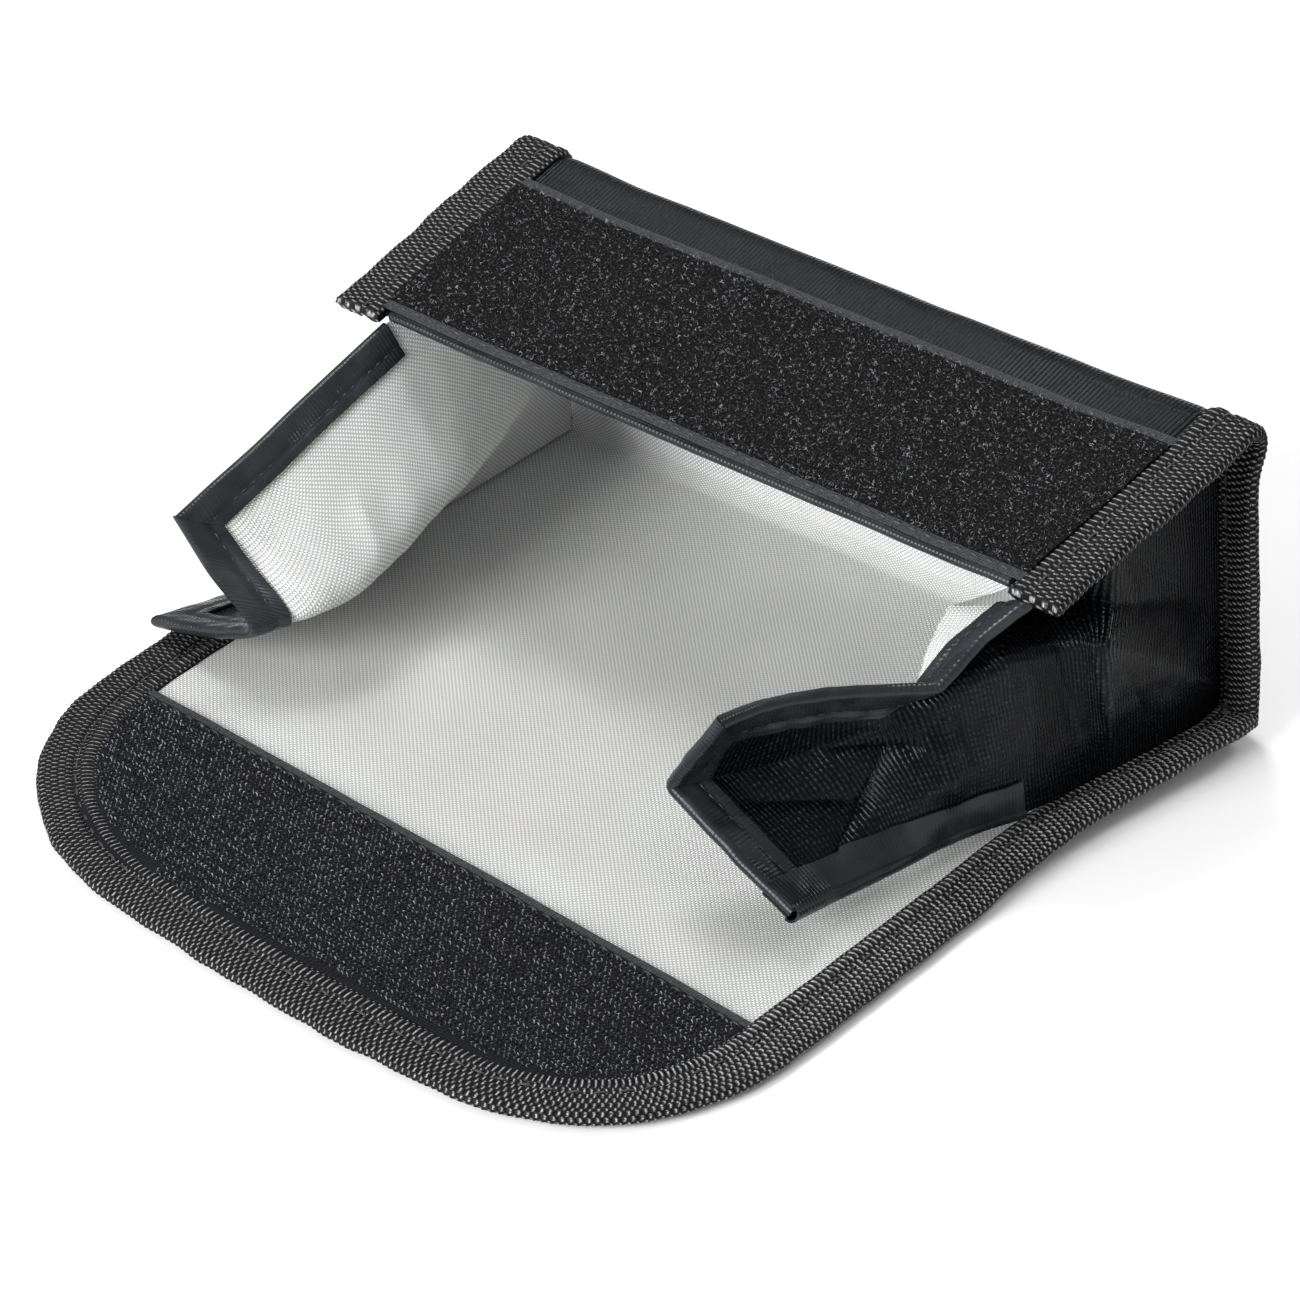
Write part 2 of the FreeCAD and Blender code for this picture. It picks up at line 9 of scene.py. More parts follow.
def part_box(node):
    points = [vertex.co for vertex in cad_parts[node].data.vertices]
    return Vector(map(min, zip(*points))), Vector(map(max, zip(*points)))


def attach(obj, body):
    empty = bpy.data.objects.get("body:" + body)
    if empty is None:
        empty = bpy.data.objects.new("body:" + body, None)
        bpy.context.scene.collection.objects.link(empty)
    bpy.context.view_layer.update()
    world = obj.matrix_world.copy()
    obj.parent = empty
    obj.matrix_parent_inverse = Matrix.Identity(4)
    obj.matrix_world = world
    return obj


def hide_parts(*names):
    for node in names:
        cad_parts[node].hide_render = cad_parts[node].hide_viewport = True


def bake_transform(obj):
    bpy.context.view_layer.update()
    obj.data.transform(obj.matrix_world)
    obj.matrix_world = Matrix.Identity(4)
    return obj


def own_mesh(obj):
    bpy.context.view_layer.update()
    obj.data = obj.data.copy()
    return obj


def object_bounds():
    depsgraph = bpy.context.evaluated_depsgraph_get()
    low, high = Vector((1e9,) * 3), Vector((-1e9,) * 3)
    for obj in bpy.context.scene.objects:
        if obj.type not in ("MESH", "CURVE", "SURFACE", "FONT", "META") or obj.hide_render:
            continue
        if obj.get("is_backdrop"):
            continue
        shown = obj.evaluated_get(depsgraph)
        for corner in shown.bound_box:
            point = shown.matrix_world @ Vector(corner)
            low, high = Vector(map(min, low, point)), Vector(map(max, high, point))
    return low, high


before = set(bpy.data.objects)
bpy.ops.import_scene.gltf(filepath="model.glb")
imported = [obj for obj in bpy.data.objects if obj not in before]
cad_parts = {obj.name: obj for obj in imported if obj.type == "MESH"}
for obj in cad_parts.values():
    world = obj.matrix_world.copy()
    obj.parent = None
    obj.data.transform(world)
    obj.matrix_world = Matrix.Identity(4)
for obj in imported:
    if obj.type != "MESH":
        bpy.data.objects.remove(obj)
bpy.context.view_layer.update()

# ---------------------------------------------------------------- the strip of outer cloth
# One long strip of black coated glass cloth makes the front panel, the base, the back panel and
# the flap. It is cut with the flap's end rounded, sags a little between its side seams, and its
# raw edges are sewn into the binding. Here it is cut in two half way between the flap's two folds.

mm = 0.001
seam_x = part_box("back_panel_cloth")[1].x
bag_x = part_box("right_body_binding")[1].x
mouth_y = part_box("back_panel_cloth")[0].y
rear_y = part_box("base_panel_cloth")[1].y
fold_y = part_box("cover_cloth")[0].y
flap_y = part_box("tongue_binding")[0].y
parting_y = (mouth_y + fold_y) / 2
mouth_rise = 56.6 * mm
front_slope = math.radians(13.5)
rear_rise = mouth_rise + (rear_y - mouth_y) * math.tan(front_slope)
corner_radius = 5 * mm
left_flap_radius = 57 * mm
right_flap_radius = 43 * mm
cloth_gauge = 0.6 * mm
cloth_depth = 0.35 * mm
line_step = 0.25 * mm
arc_points = 17
seam_hold = 24 * mm
broad_slack, small_slack = 0.28 * mm, 0.1 * mm
tape_squeeze = 0.7 * mm
front_sag, front_sag_reach = 0.8 * mm, 24 * mm
base_sag, base_sag_reach = 1.3 * mm, 20 * mm
cloth_end_inset = 5.5 * mm


def lengths(points):
    """The distance along a line of points at each of them."""
    return np.concatenate([[0], np.cumsum(np.linalg.norm(np.diff(points, axis=0), axis=1))])


def unit(vectors):
    """The same ways, each one long."""
    return vectors / np.linalg.norm(vectors, axis=-1)[..., None]


def hump(value, centre, reach):
    """One at the centre, falling smoothly to nought beyond that reach."""
    return np.exp(-(((value - centre) / reach) ** 2))


def side_line(corners, radius):
    """A side view's straight runs joined by arcs: distance along it, points and inward normals."""
    corners = [np.array(corner) for corner in corners]
    points = [corners[0]]
    for before, corner, after in zip(corners, corners[1:], corners[2:]):
        into = (corner - before) / np.linalg.norm(corner - before)
        out = (after - corner) / np.linalg.norm(after - corner)
        turn = math.acos(into @ out)
        to_centre = (out - into * (into @ out)) / math.sin(turn)
        start = corner - into * radius * math.tan(turn / 2)
        for angle in np.linspace(0, turn, arc_points):
            arc = into * math.sin(angle) + to_centre * (1 - math.cos(angle))
            points.append(start + arc * radius)
    points.append(corners[-1])
    points = np.array(points)
    run = lengths(points)
    even = np.arange(0, run[-1], line_step)
    points = np.stack([np.interp(even, run, points[:, 0]), np.interp(even, run, points[:, 1])], 1)
    along = unit(np.gradient(points, axis=0))
    return even, points, np.stack([along[:, 1], -along[:, 0]], 1)


strip_corners = [(mouth_y, mouth_rise), (rear_y, rear_rise), (rear_y, 0), (flap_y, 0)]
strip_run, strip_points, strip_inward = side_line(strip_corners, corner_radius)
strip_end = strip_run[-1]
base_top = (rear_y - mouth_y) / math.cos(front_slope)
base_foot = base_top + rear_rise
parting = strip_end - (parting_y - flap_y)


def ripple(x, run, size, seed):
    """Smooth unevenness of the cloth, from -1 to 1, with bumps about that size."""
    shape = np.broadcast(x, run).shape
    pairs = zip(np.broadcast_to(x, shape).ravel(), np.broadcast_to(run, shape).ravel())
    values = [noise.noise(Vector((a / size, b / size, seed))) for a, b in pairs]
    return np.array(values).reshape(shape)


def ease(value, low, high):
    """Nought below low, one above high and a smooth rise between them."""
    share = np.clip((value - low) / (high - low), 0, 1)
    return share * share * (3 - 2 * share)


def sag(x, run):
    """How far the strip lies inwards of its taut line: most between the seams, nothing at them."""
    free = 1 - ease(np.abs(x), seam_x - seam_hold, seam_x - 1 * mm)
    over_front = front_sag * hump(run, base_top * 0.55, front_sag_reach)
    over_base = base_sag * hump(run - base_top, rear_rise / 2, base_sag_reach)
    broad = broad_slack * (1 + ripple(x, run, 34 * mm, 3.1))
    small = small_slack * (1 + ripple(x, run, 9 * mm, 7.7))
    return free * (over_front + over_base + broad + small)


# The bag's right end splays outwards at its foot, and its seam leans in over the gusset:
# (distance down the strip from the mouth, how far outwards, lean) in millimetres.
splay = np.array(
    [
        (-5, -3, 0), (0, -2.7, 0), (20, -1, 0), (40, 0.6, 0), (55, 1.6, 0.1), (61.7, 1.2, 0),
        (70, 1.9, 0.22), (80, 3.4, 0.32), (97, 5, 0.29), (131, 8.2, 0.33), (135, 9.6, 0.44),
        (139, 9.4, 0.46), (147, 7.8, 0.46), (155, 6.3, 0.4), (163, 4.6, 0.34), (171, 2.8, 0.28),
        (179, 1.3, 0.24), (187, 0.3, 0.2), (191, -0.3, 0.15), (200, -0.5, 0.1), (213, -0.4, 0),
        (219, -0.6, 0), (232, 0, 0),
    ]
)


def read_table(at, table, column):
    """A line given by a few places in millimetres, read with its corners rounded off."""
    spans = np.linspace(-4, 4, 9) * mm
    values = [np.interp(at + span, table[:, 0] * mm, table[:, column]) for span in spans]
    return np.mean(values, axis=0)


def splayed(x, run):
    """How far a place on the strip is drawn outwards, and how much its seam leans inwards."""
    right = np.where(x < 0, 0, 1)
    return right * read_table(run, splay, 1) * mm, right * read_table(run, splay, 2)


def on_strip(x, run, depth):
    """Points of the strip at a depth inwards of its taut outer face."""
    out, lean = splayed(x, run)
    depth = depth + sag(x, run) + lean * np.clip(np.abs(x) - seam_x, 0, None)
    beyond = np.clip(-run, 0, None)
    y, z = (
        np.interp(run, strip_run, line) + depth * np.interp(run, strip_run, inward)
        for line, inward in zip(strip_points.T, strip_inward.T)
    )
    x = x + np.sign(x) * out * ease(np.abs(x), 25 * mm, seam_x)
    y, z = y - beyond * math.cos(front_slope), z - beyond * math.sin(front_slope)
    return np.stack(np.broadcast_arrays(x, y, z), -1)


def measured(first, second):
    """The cloth's own measure at each place, from its two distances."""
    return np.stack(np.broadcast_arrays(first, second), -1)


def flap_half(run, inset, radius):
    """Half the flap's width at a distance down the strip, with its outline drawn in by inset."""
    in_corner = np.clip(radius - (strip_end - run), 0, radius - inset)
    return bag_x - radius + np.sqrt((radius - inset) ** 2 - in_corner**2)


def flap_across(across, run, inset):
    """Places across the flap, from its left edge to its right."""
    left, right = flap_half(run, inset, left_flap_radius), flap_half(run, inset, right_flap_radius)
    return across * (left + right) - left


def lay(piece, place):
    """Moves a flat grid to where place puts it, with the cloth's own measure as its UV map.

    place is given shares across (a row) and along (a column) and gives points and measures.
    """
    mesh = piece.data
    flat = np.empty(len(mesh.vertices) * 3)
    mesh.vertices.foreach_get("co", flat)
    flat = flat.reshape(-1, 3)
    across = np.unique(np.round(flat[:, 0] + 0.5, 6))
    along = np.unique(np.round(flat[:, 1] + 0.5, 6))
    columns = np.round((flat[:, 0] + 0.5) * (len(across) - 1)).astype(int)
    rows = np.round((flat[:, 1] + 0.5) * (len(along) - 1)).astype(int)
    points, measures = place(across[None, :], along[:, None])
    mesh.vertices.foreach_set("co", points[rows, columns].ravel())
    corners = np.empty(len(mesh.loops), int)
    mesh.loops.foreach_get("vertex_index", corners)
    mesh.uv_layers.active.data.foreach_set("uv", measures[rows, columns][corners].ravel())
    mesh.update()


def finish_cloth(piece, gauge, finish, doubles):
    """Gives laid cloth its thickness, turns its faces outwards, smooths it and adds a finish."""
    if gauge:
        thickness = piece.modifiers.new("gauge", "SOLIDIFY")
        thickness.thickness = gauge
        thickness.offset = 0
        bpy.ops.object.modifier_apply(modifier=thickness.name)
    bpy.ops.object.mode_set(mode="EDIT")
    bpy.ops.mesh.select_all(action="SELECT")
    if doubles:
        bpy.ops.mesh.remove_doubles(threshold=doubles)
    bpy.ops.mesh.normals_make_consistent(inside=False)
    bpy.ops.object.mode_set(mode="OBJECT")
    bpy.ops.object.shade_smooth_by_angle(angle=math.radians(50))
    piece.data.materials.clear()
    piece.data.materials.append(finish)


def make_cloth(name, squares, place, gauge, finish, doubles=0):
    """A piece of cloth: a flat grid of that many squares across and along, laid and finished."""
    bpy.ops.object.select_all(action="DESELECT")
    bpy.ops.mesh.primitive_grid_add(x_subdivisions=squares[0], y_subdivisions=squares[1], size=1)
    piece = bpy.context.object
    piece.name = piece.data.name = name
    lay(piece, place)
    finish_cloth(piece, gauge, finish, doubles)
    return piece


def wire(tree, socket, value):
    """Sets a node's socket to a number or colour, or joins another node's output to it."""
    if isinstance(value, bpy.types.NodeSocket):
        tree.links.new(value, socket)
    else:
        socket.default_value = value


def new_node(tree, kind, inputs, **settings):
    """A shader node with its settings made first, and then its inputs wired."""
    node = tree.nodes.new("ShaderNode" + kind)
    for setting, value in settings.items():
        setattr(node, setting, value)
    for socket, value in inputs.items():
        wire(tree, node.inputs[socket], value)
    return node


def sum_node(tree, operation, *values):
    """A maths node's output, from numbers or other outputs."""
    return new_node(tree, "Math", dict(enumerate(values)), operation=operation).outputs[0]


def speckle(tree, vector, scale, detail=3):
    """Noise from nought to one over a finish."""
    inputs = {"Scale": scale, "Detail": detail, "Vector": vector}
    return new_node(tree, "TexNoise", inputs).outputs[0]


def new_group(name, inputs, outputs):
    """A node group with named number inputs (the first a vector) and outputs, and its two ends."""
    group = bpy.data.node_groups.new(name, "ShaderNodeTree")
    group.interface.new_socket("Vector", in_out="INPUT", socket_type="NodeSocketVector")
    for socket_name in inputs:
        group.interface.new_socket(socket_name, in_out="INPUT", socket_type="NodeSocketFloat")
    for socket_name in outputs:
        group.interface.new_socket(socket_name, in_out="OUTPUT", socket_type="NodeSocketFloat")
    given, result = group.nodes.new("NodeGroupInput"), group.nodes.new("NodeGroupOutput")
    return group, given.outputs, result.inputs


def weave_group():
    """Threads over and under: their height, and which of the two sets is on top."""
    group, given, result = new_group("threads", ["Across", "Along"], ["Height", "Over"])
    maths = partial(sum_node, group)
    split = new_node(group, "SeparateXYZ", {0: given["Vector"]})
    x = maths("DIVIDE", split.outputs[0], given["Across"])
    y = maths("DIVIDE", split.outputs[1], given["Along"])
    heights = []
    for mine, other, start in ((x, y, 0.5), (y, x, 1.5)):
        number = maths("FLOOR", mine)
        part = maths("MULTIPLY_ADD", maths("SUBTRACT", mine, number), 2, -1)
        roundness = maths("SUBTRACT", 1, maths("MULTIPLY", part, part))
        turn = maths("SUBTRACT", maths("SUBTRACT", other, number), start)
        wave = maths("COSINE", maths("MULTIPLY", turn, math.pi))
        heights.append(maths("MULTIPLY_ADD", maths("ADD", roundness, wave), 0.4, 0.2))
    wire(group, result["Height"], maths("MAXIMUM", *heights))
    wire(group, result["Over"], maths("GREATER_THAN", *heights))
    return group


def rib_group():
    """A coated cloth's raised ribs, painted glints on beads where threads cross them, and
    pressed-in creases.
    """
    group, given, result = new_group("coated_ribs", ["Rib", "Cross"], ["Height", "PaintedGlint", "Crease"])
    maths = partial(sum_node, group)
    split = new_node(group, "SeparateXYZ", {0: given["Vector"]})
    x = maths("DIVIDE", split.outputs[0], given["Rib"])
    y = maths("DIVIDE", split.outputs[1], given["Cross"])
    rib = maths("ABSOLUTE", maths("SINE", maths("MULTIPLY", x, math.pi)))
    rib = maths("POWER", rib, 3)
    cross = maths("ABSOLUTE", maths("SINE", maths("MULTIPLY", y, math.pi)))
    broken = maths("MULTIPLY_ADD", cross, 0.22, speckle(group, given["Vector"], 1100, 2))
    wire(group, result["Height"], maths("MULTIPLY", rib, broken))
    # The painted glint mask: rib crowns where the cross threads bulge most.
    wire(group, result["PaintedGlint"], maths("MULTIPLY", rib, maths("POWER", broken, 5)))
    stretches = {0: given["Vector"], 1: (26, 85, 60)}
    stretched = new_node(group, "VectorMath", stretches, operation="MULTIPLY").outputs[0]
    bend = new_node(group, "TexNoise", {"Scale": 60, "Vector": given["Vector"]}).outputs["Color"]
    bends = {0: bend, 1: (1.4, 1.4, 1.4), 2: stretched}
    bent = new_node(group, "VectorMath", bends, operation="MULTIPLY_ADD").outputs[0]
    cracks = {"Scale": 1, "Vector": bent}
    crack = new_node(group, "TexVoronoi", cracks, feature="DISTANCE_TO_EDGE")
    near = maths("SUBTRACT", 1, maths("DIVIDE", crack.outputs["Distance"], 0.05))
    wire(group, result["Crease"], maths("MAXIMUM", near, 0))
    return group


threads = weave_group()
ribs = rib_group()


def new_finish(name, roughness, specular):
    """An empty finish with its node tree, its shader and its UV measure."""
    finish = bpy.data.materials.new(name)
    finish.use_nodes = True
    tree = finish.node_tree
    shader = tree.nodes["Principled BSDF"]
    shader.inputs["Roughness"].default_value = roughness
    shader.inputs["Specular IOR Level"].default_value = specular
    return finish, tree, shader, new_node(tree, "UVMap", {}, uv_map="UVMap").outputs[0]


def place_group(tree, group, *values):
    """A node group in a finish, with its inputs set in order; gives its outputs."""
    return new_node(tree, "Group", dict(enumerate(values)), node_tree=group).outputs


def colour(tree, shader, value, low, high):
    """The finish's colour runs from one shade to another as the value goes from nought to one."""
    inputs = {0: value, 6: (*low, 1), 7: (*high, 1)}  # the share and the two colour sockets
    blended = new_node(tree, "Mix", inputs, data_type="RGBA").outputs[2]
    wire(tree, shader.inputs["Base Color"], blended)


def level_range(tree, value, low, high, start=0, end=1):
    """A number that runs from low to high as the value goes from start to end."""
    levels = {"From Min": start, "From Max": end, "To Min": low, "To Max": high}
    return new_node(tree, "MapRange", {"Value": value, **levels}).outputs[0]


def raise_surface(tree, shader, height, distance, below=None):
    """A bump of that depth on the shader's normal; gives the normal, to lay another bump on."""
    under = {} if below is None else {"Normal": below}
    bump = new_node(tree, "Bump", {"Distance": distance, "Height": height, **under})
    wire(tree, shader.inputs["Normal"], bump.outputs[0])
    return bump.outputs[0]


def coated_finish():
    """Black coated glass cloth: a cool gloss over fine ribs, duller in broad patches, with painted
    glints on the rib beads.
    """
    finish, tree, shader, measure = new_finish("coated_black", 0.3, 0.11)
    maths = partial(sum_node, tree)
    rib = place_group(tree, ribs, measure, 0.95 * mm, 1.1 * mm)
    cloud = speckle(tree, measure, 55, 1)
    # Painted glints: the rib beads are coloured pale grey, more in some broad patches than in
    # others.
    painted_glint_tone = maths("MULTIPLY", rib["PaintedGlint"], maths("POWER", cloud, 1.5))
    colour(tree, shader, painted_glint_tone, (0.0012, 0.0016, 0.0024), (0.17, 0.18, 0.2))
    wire(tree, shader.inputs["Roughness"], level_range(tree, cloud, -0.02, 0.5))
    normal = raise_surface(tree, shader, rib["Height"], 0.22 * mm)
    raise_surface(tree, shader, maths("MULTIPLY", rib["Crease"], -1), 0.035 * mm, normal)
    return finish


coated_black = coated_finish()


def under_tape(x):
    """The outer cloth's depth: a little deeper under the binding, which squeezes it."""
    return cloth_depth + tape_squeeze * ease(np.abs(x), seam_x - 2 * mm, seam_x + 1 * mm)


def outer_strip(across, along):
    """The strip from the mouth's edge over the base to half way down the flap's cover."""
    x = (across - 0.5) * 2 * (bag_x - 4 * mm)
    run = along * parting
    return on_strip(x, run, under_tape(x)), measured(x, run)


def outer_tongue(across, along):
    """The strip's rounded end, from half way down the cover to under the end's binding."""
    run = parting + np.sin(along * math.pi / 2) * (strip_end - cloth_end_inset - parting)
    x = flap_across(across, run, cloth_end_inset)
    return on_strip(x, run, under_tape(x)), measured(x, run)


strip_cloth = make_cloth("strip_outer_cloth", (118, 146), outer_strip, cloth_gauge, coated_black)
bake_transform(strip_cloth)
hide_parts("front_panel_cloth", "base_panel_cloth", "back_panel_cloth", "cover_cloth")

tongue_outer = make_cloth("tongue_outer_cloth", (118, 76), outer_tongue, cloth_gauge, coated_black)
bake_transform(tongue_outer)
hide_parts("tongue_cloth")

# ---------------------------------------------------------------- the strip's lining
# A silver-coated glass cloth of the same cut lies loose inside the strip and is sewn in with it
# at the edges only. Its plain weave shows as rows of bright points, partly real bumps and partly
# highlights painted into its colour. It makes the bag's inside and the flap's upper face.

lining_gauge = 0.5 * mm
lining_depth = 1.2 * mm
lining_slack = 0.25 * mm
lining_start = 0.4 * mm
lining_end_inset = 8 * mm


def silver_finish():
    """Silver-coated plain weave: pale grey threads, with highlights painted white on their
    crossings.
    """
    finish, tree, shader, measure = new_finish("silver_weave", 0.36, 0.5)
    maths = partial(sum_node, tree)
    weave = place_group(tree, threads, measure, 0.52 * mm, 0.52 * mm)
    cloud = speckle(tree, measure, 45, 1)
    # Painted highlights: the tops of the crossings are coloured up to white, over a random cloud.
    point = maths("MULTIPLY", maths("POWER", weave["Height"], 4), weave["Over"])
    painted_glint_tone = maths("MULTIPLY_ADD", cloud, 0.12, maths("MULTIPLY", point, 1.5))
    colour(tree, shader, painted_glint_tone, (0.47, 0.48, 0.47), (1, 1, 1))
    shader.inputs["Metallic"].default_value = 0.25
    wire(tree, shader.inputs["Roughness"], level_range(tree, cloud, 0.24, 0.48))
    raise_surface(tree, shader, weave["Height"], 0.3 * mm)
    return finish


silver_weave = silver_finish()


def slack(x, run):
    """How far the loose lining lies inwards of where it would lie if it were taut."""
    return lining_slack * (1 + ripple(x, run, 16 * mm, 21.4))


def strip_lining_place(across, along):
    """The lining inside the strip, as far as the cloth's own parting."""
    x = (across - 0.5) * 2 * (seam_x + 3.5 * mm)
    run = lining_start + along * (parting - lining_start)
    return on_strip(x, run, lining_depth + slack(x, run)), measured(x, run)


def tongue_lining_place(across, along):
    """The lining on the flap's rounded end, drawn flat before the hook strip."""
    run = parting + np.sin(along * math.pi / 2) * (strip_end - lining_end_inset - parting)
    x = flap_across(across, run, 8.5 * mm)
    loose = slack(x, run) * (1 - ease(run, strip_end - 62 * mm, strip_end - 55 * mm))
    return on_strip(x, run, lining_depth + loose), measured(x, run)


strip_silver = make_cloth(
    "strip_silver_lining", (128, 164), strip_lining_place, lining_gauge, silver_weave
)
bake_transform(strip_silver)
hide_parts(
    "front_panel_lining", "base_panel_lining", "back_panel_lining", "cover_lining"
)

tongue_silver = make_cloth(
    "tongue_silver_lining", (128, 84), tongue_lining_place, lining_gauge, silver_weave
)
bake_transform(tongue_silver)
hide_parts("tongue_lining")

# ---------------------------------------------------------------- the gussets and ears
# Each end is closed by a gusset of the same two cloths, sewn to the strip round three sides. It
# folds inwards, and past the mouth it runs on as a free ear. The ear is hinged on its own body,
# so it is laid from the same net as its gusset and meets it edge to edge at the mouth.

ply = 0.45 * mm

# Rows from the base to the ear's front edge, each from the foot up: (reach in from the seam,
# y, z) in millimetres. The row at the mouth is where the gusset ends and the ear starts.
gusset_folds = {
    "left": [
        [(1.2, 26.8, 2.5), (1.2, 26.8, 18), (1.2, 26.8, 33), (1.2, 26.8, 48), (1.2, 26.8, 66.5)],
        [(1.2, 20, 2.6), (2.5, 20, 17), (5, 20, 33), (2.6, 20, 48), (1, 20, 65.2)],
        [(1.2, 0, 2.7), (5.6, 0, 15), (13.5, 0, 31), (6, 0, 46), (1, 0, 60.4)],
        [(1.2, -16, 2.8), (9, -16, 14), (19, -16, 28), (10, -16, 43), (0.9, -16, 56.6)],
        [(1, -30, 3.2), (11.5, -30, 13), (23, -30, 27), (11.5, -30, 40.5), (0.8, -30, 53.2)],
        [(-0.6, -44, 3.9), (12, -44, 12), (25.7, -44, 25), (13.5, -44, 38.5), (0.6, -44, 49.2)],
        [(-2.4, -57, 4.3), (12, -57, 11.5), (28.2, -57, 23), (15.5, -57, 35.5), (1.2, -57, 46.3)],
        [(-5.5, -70, 4.8), (11.5, -70, 10.5), (29.3, -69, 21), (16, -70, 33), (2.3, -70, 43.6)],
        [(-8, -80, 5.3), (8, -80.5, 10), (25.6, -80.5, 19.2), (14, -82, 30.5), (2.7, -83, 40.9)],
        [
            (-10.5, -89, 6), (2.3, -88.1, 8.5), (16.3, -87.4, 15),
            (8.4, -90.5, 26.5), (2.2, -92.7, 37.7),
        ],
    ],
    "right": [
        [
            (-7.2, 27, 3), (-7.2, 27, 5), (-7.2, 27, 7.5),
            (-5.4, 27, 27), (-3.6, 27, 47), (-1.6, 27, 67),
        ],
        [
            (-6.9, 15, 3), (-7.6, 13, 10.8), (-8.6, 10.6, 21.4),
            (-3.6, 16.7, 32.8), (-2.4, 15.4, 49.3), (-0.9, 15, 64.5),
        ],
        [
            (-3.7, -5, 3), (-5.2, -9, 19), (-6.6, -13.8, 38.8),
            (-1.2, -3.8, 40.6), (-1, -4.6, 50.8), (-0.3, -5, 59.7),
        ],
        [
            (-2.6, -9.5, 3), (-2.2, -11.6, 18.6), (-2.8, -15.4, 38),
            (8, -10, 42.3), (3.2, -9.5, 50.4), (-0.2, -9.5, 58.6),
        ],
        [
            (-1.8, -15, 3), (0.2, -16, 19), (1.6, -18.6, 37),
            (15, -15, 42), (6.5, -15, 49.5), (0.2, -15, 57.3),
        ],
        [
            (-0.3, -30, 5.8), (1.8, -30, 20), (5, -30, 38.5),
            (19, -30, 44.3), (9, -30, 48.7), (0.3, -30, 53.2),
        ],
        [
            (2.2, -36.5, 6), (3.2, -36.5, 19.5), (8, -36.5, 36.5),
            (18, -36.5, 39.5), (11.2, -36.5, 43), (6, -36, 46),
        ],
        [
            (5.2, -43.5, 5.6), (5.6, -43.5, 18), (11.5, -43.3, 32.6),
            (15.8, -43, 33.8), (12.3, -43.5, 36), (9.5, -44.5, 38),
        ],
        [
            (6.4, -51, 5.9), (9.5, -51, 17), (18.5, -51, 28.5),
            (19, -51, 32), (18, -51, 35), (17, -51, 38),
        ],
        [
            (7.4, -58, 6.0), (13.5, -58, 16), (25, -58.5, 26),
            (24.5, -59.5, 32), (23.7, -60, 36), (23, -61, 40),
        ],
        [
            (9, -66, 6.0), (17, -66, 15), (31, -66, 23.4),
            (28.5, -66.5, 31), (27.3, -67, 36), (26.3, -67.5, 40.7),
        ],
        [
            (10.8, -74, 6.1), (20.5, -75, 14.5), (36, -75, 23),
            (33, -75, 31), (30.8, -74.5, 36), (29, -74, 41.2),
        ],
        [
            (9.5, -87.5, 10.2), (24, -87, 16), (41.5, -85, 23),
            (37, -85, 31.5), (33.5, -84.5, 37), (30.5, -83.5, 42),
        ],
    ],
}
outward_way = {"left": -1, "right": 1}
mouth_row = {"left": 4, "right": 5}
net_step = 20
crispness = {"left": 0.25, "right": 1}
smoothings = {"left": 6, "right": 2}
crumple_seed = {"left": 41.5, "right": 57.2}
fine_crumple = {"left": 0.2 * mm, "right": 0.42 * mm}
broad_crumple = 0.45 * mm
ear_edge_inset = 0.8 * mm


def between(points, places):
    """The number of the point before each place, and how far beyond that point the place is."""
    before = np.clip(np.floor(places).astype(int), 0, len(points) - 2)
    return before, (places - before).reshape(-1, *[1] * (points.ndim - 1))


def through(points, places):
    """A smooth line through evenly numbered points, read at places counted in points."""
    before, part = between(points, places)
    ends = np.concatenate([[2 * points[0] - points[1]], points, [2 * points[-1] - points[-2]]])
    a, b, c, d = (ends[before + step] for step in range(4))
    curve = 3 * b - a - 3 * c + d
    return 0.5 * (2 * b + (c - a) * part + (2 * a - 5 * b + 4 * c - d) * part**2 + curve * part**3)


def straight(points, places):
    """A line of straight runs through evenly numbered points, read the same way."""
    before, part = between(points, places)
    return points[before] * (1 - part) + points[before + 1] * part


def out_of_sheet(points, side):
    """Unit vectors out of the bag, square to a grid of points."""
    down, over = np.gradient(points, axis=0), np.gradient(points, axis=1)
    square = unit(np.cross(down, over))
    return square * np.sign((square[..., 0] * outward_way[side]).mean())


# Creases pressed into the cloth, in millimetres: from (run, rise) to (run, rise), depth and width.
# Run is the distance from the base, rise the distance up the sheet from the foot.
creases = {
    "left": [
        (88, 52, 92, 40, 0.5, 2.5),
        (76, 34, 112, 30, 0.5, 3),
    ],
    "right": [
        (36, 4, 40, 36, -1, 1.2),
        (45, 6, 52, 38, -0.8, 1),
        (30, 40, 36, 58, -0.9, 1.2),
        (24, 8, 33, 30, 0.6, 1),
        (62, 3, 58, 30, -0.8, 1.2),
        (90, 22, 112, 6, 2.4, 1.6),
        (84, 20, 100, 26, 2, 1.6),
        (100, 14, 118, 24, 1.8, 1.8),
        (80, 8, 84, 22, -0.8, 2.2),
        (74, 6, 77, 28, 0.7, 1.6),
    ],
}


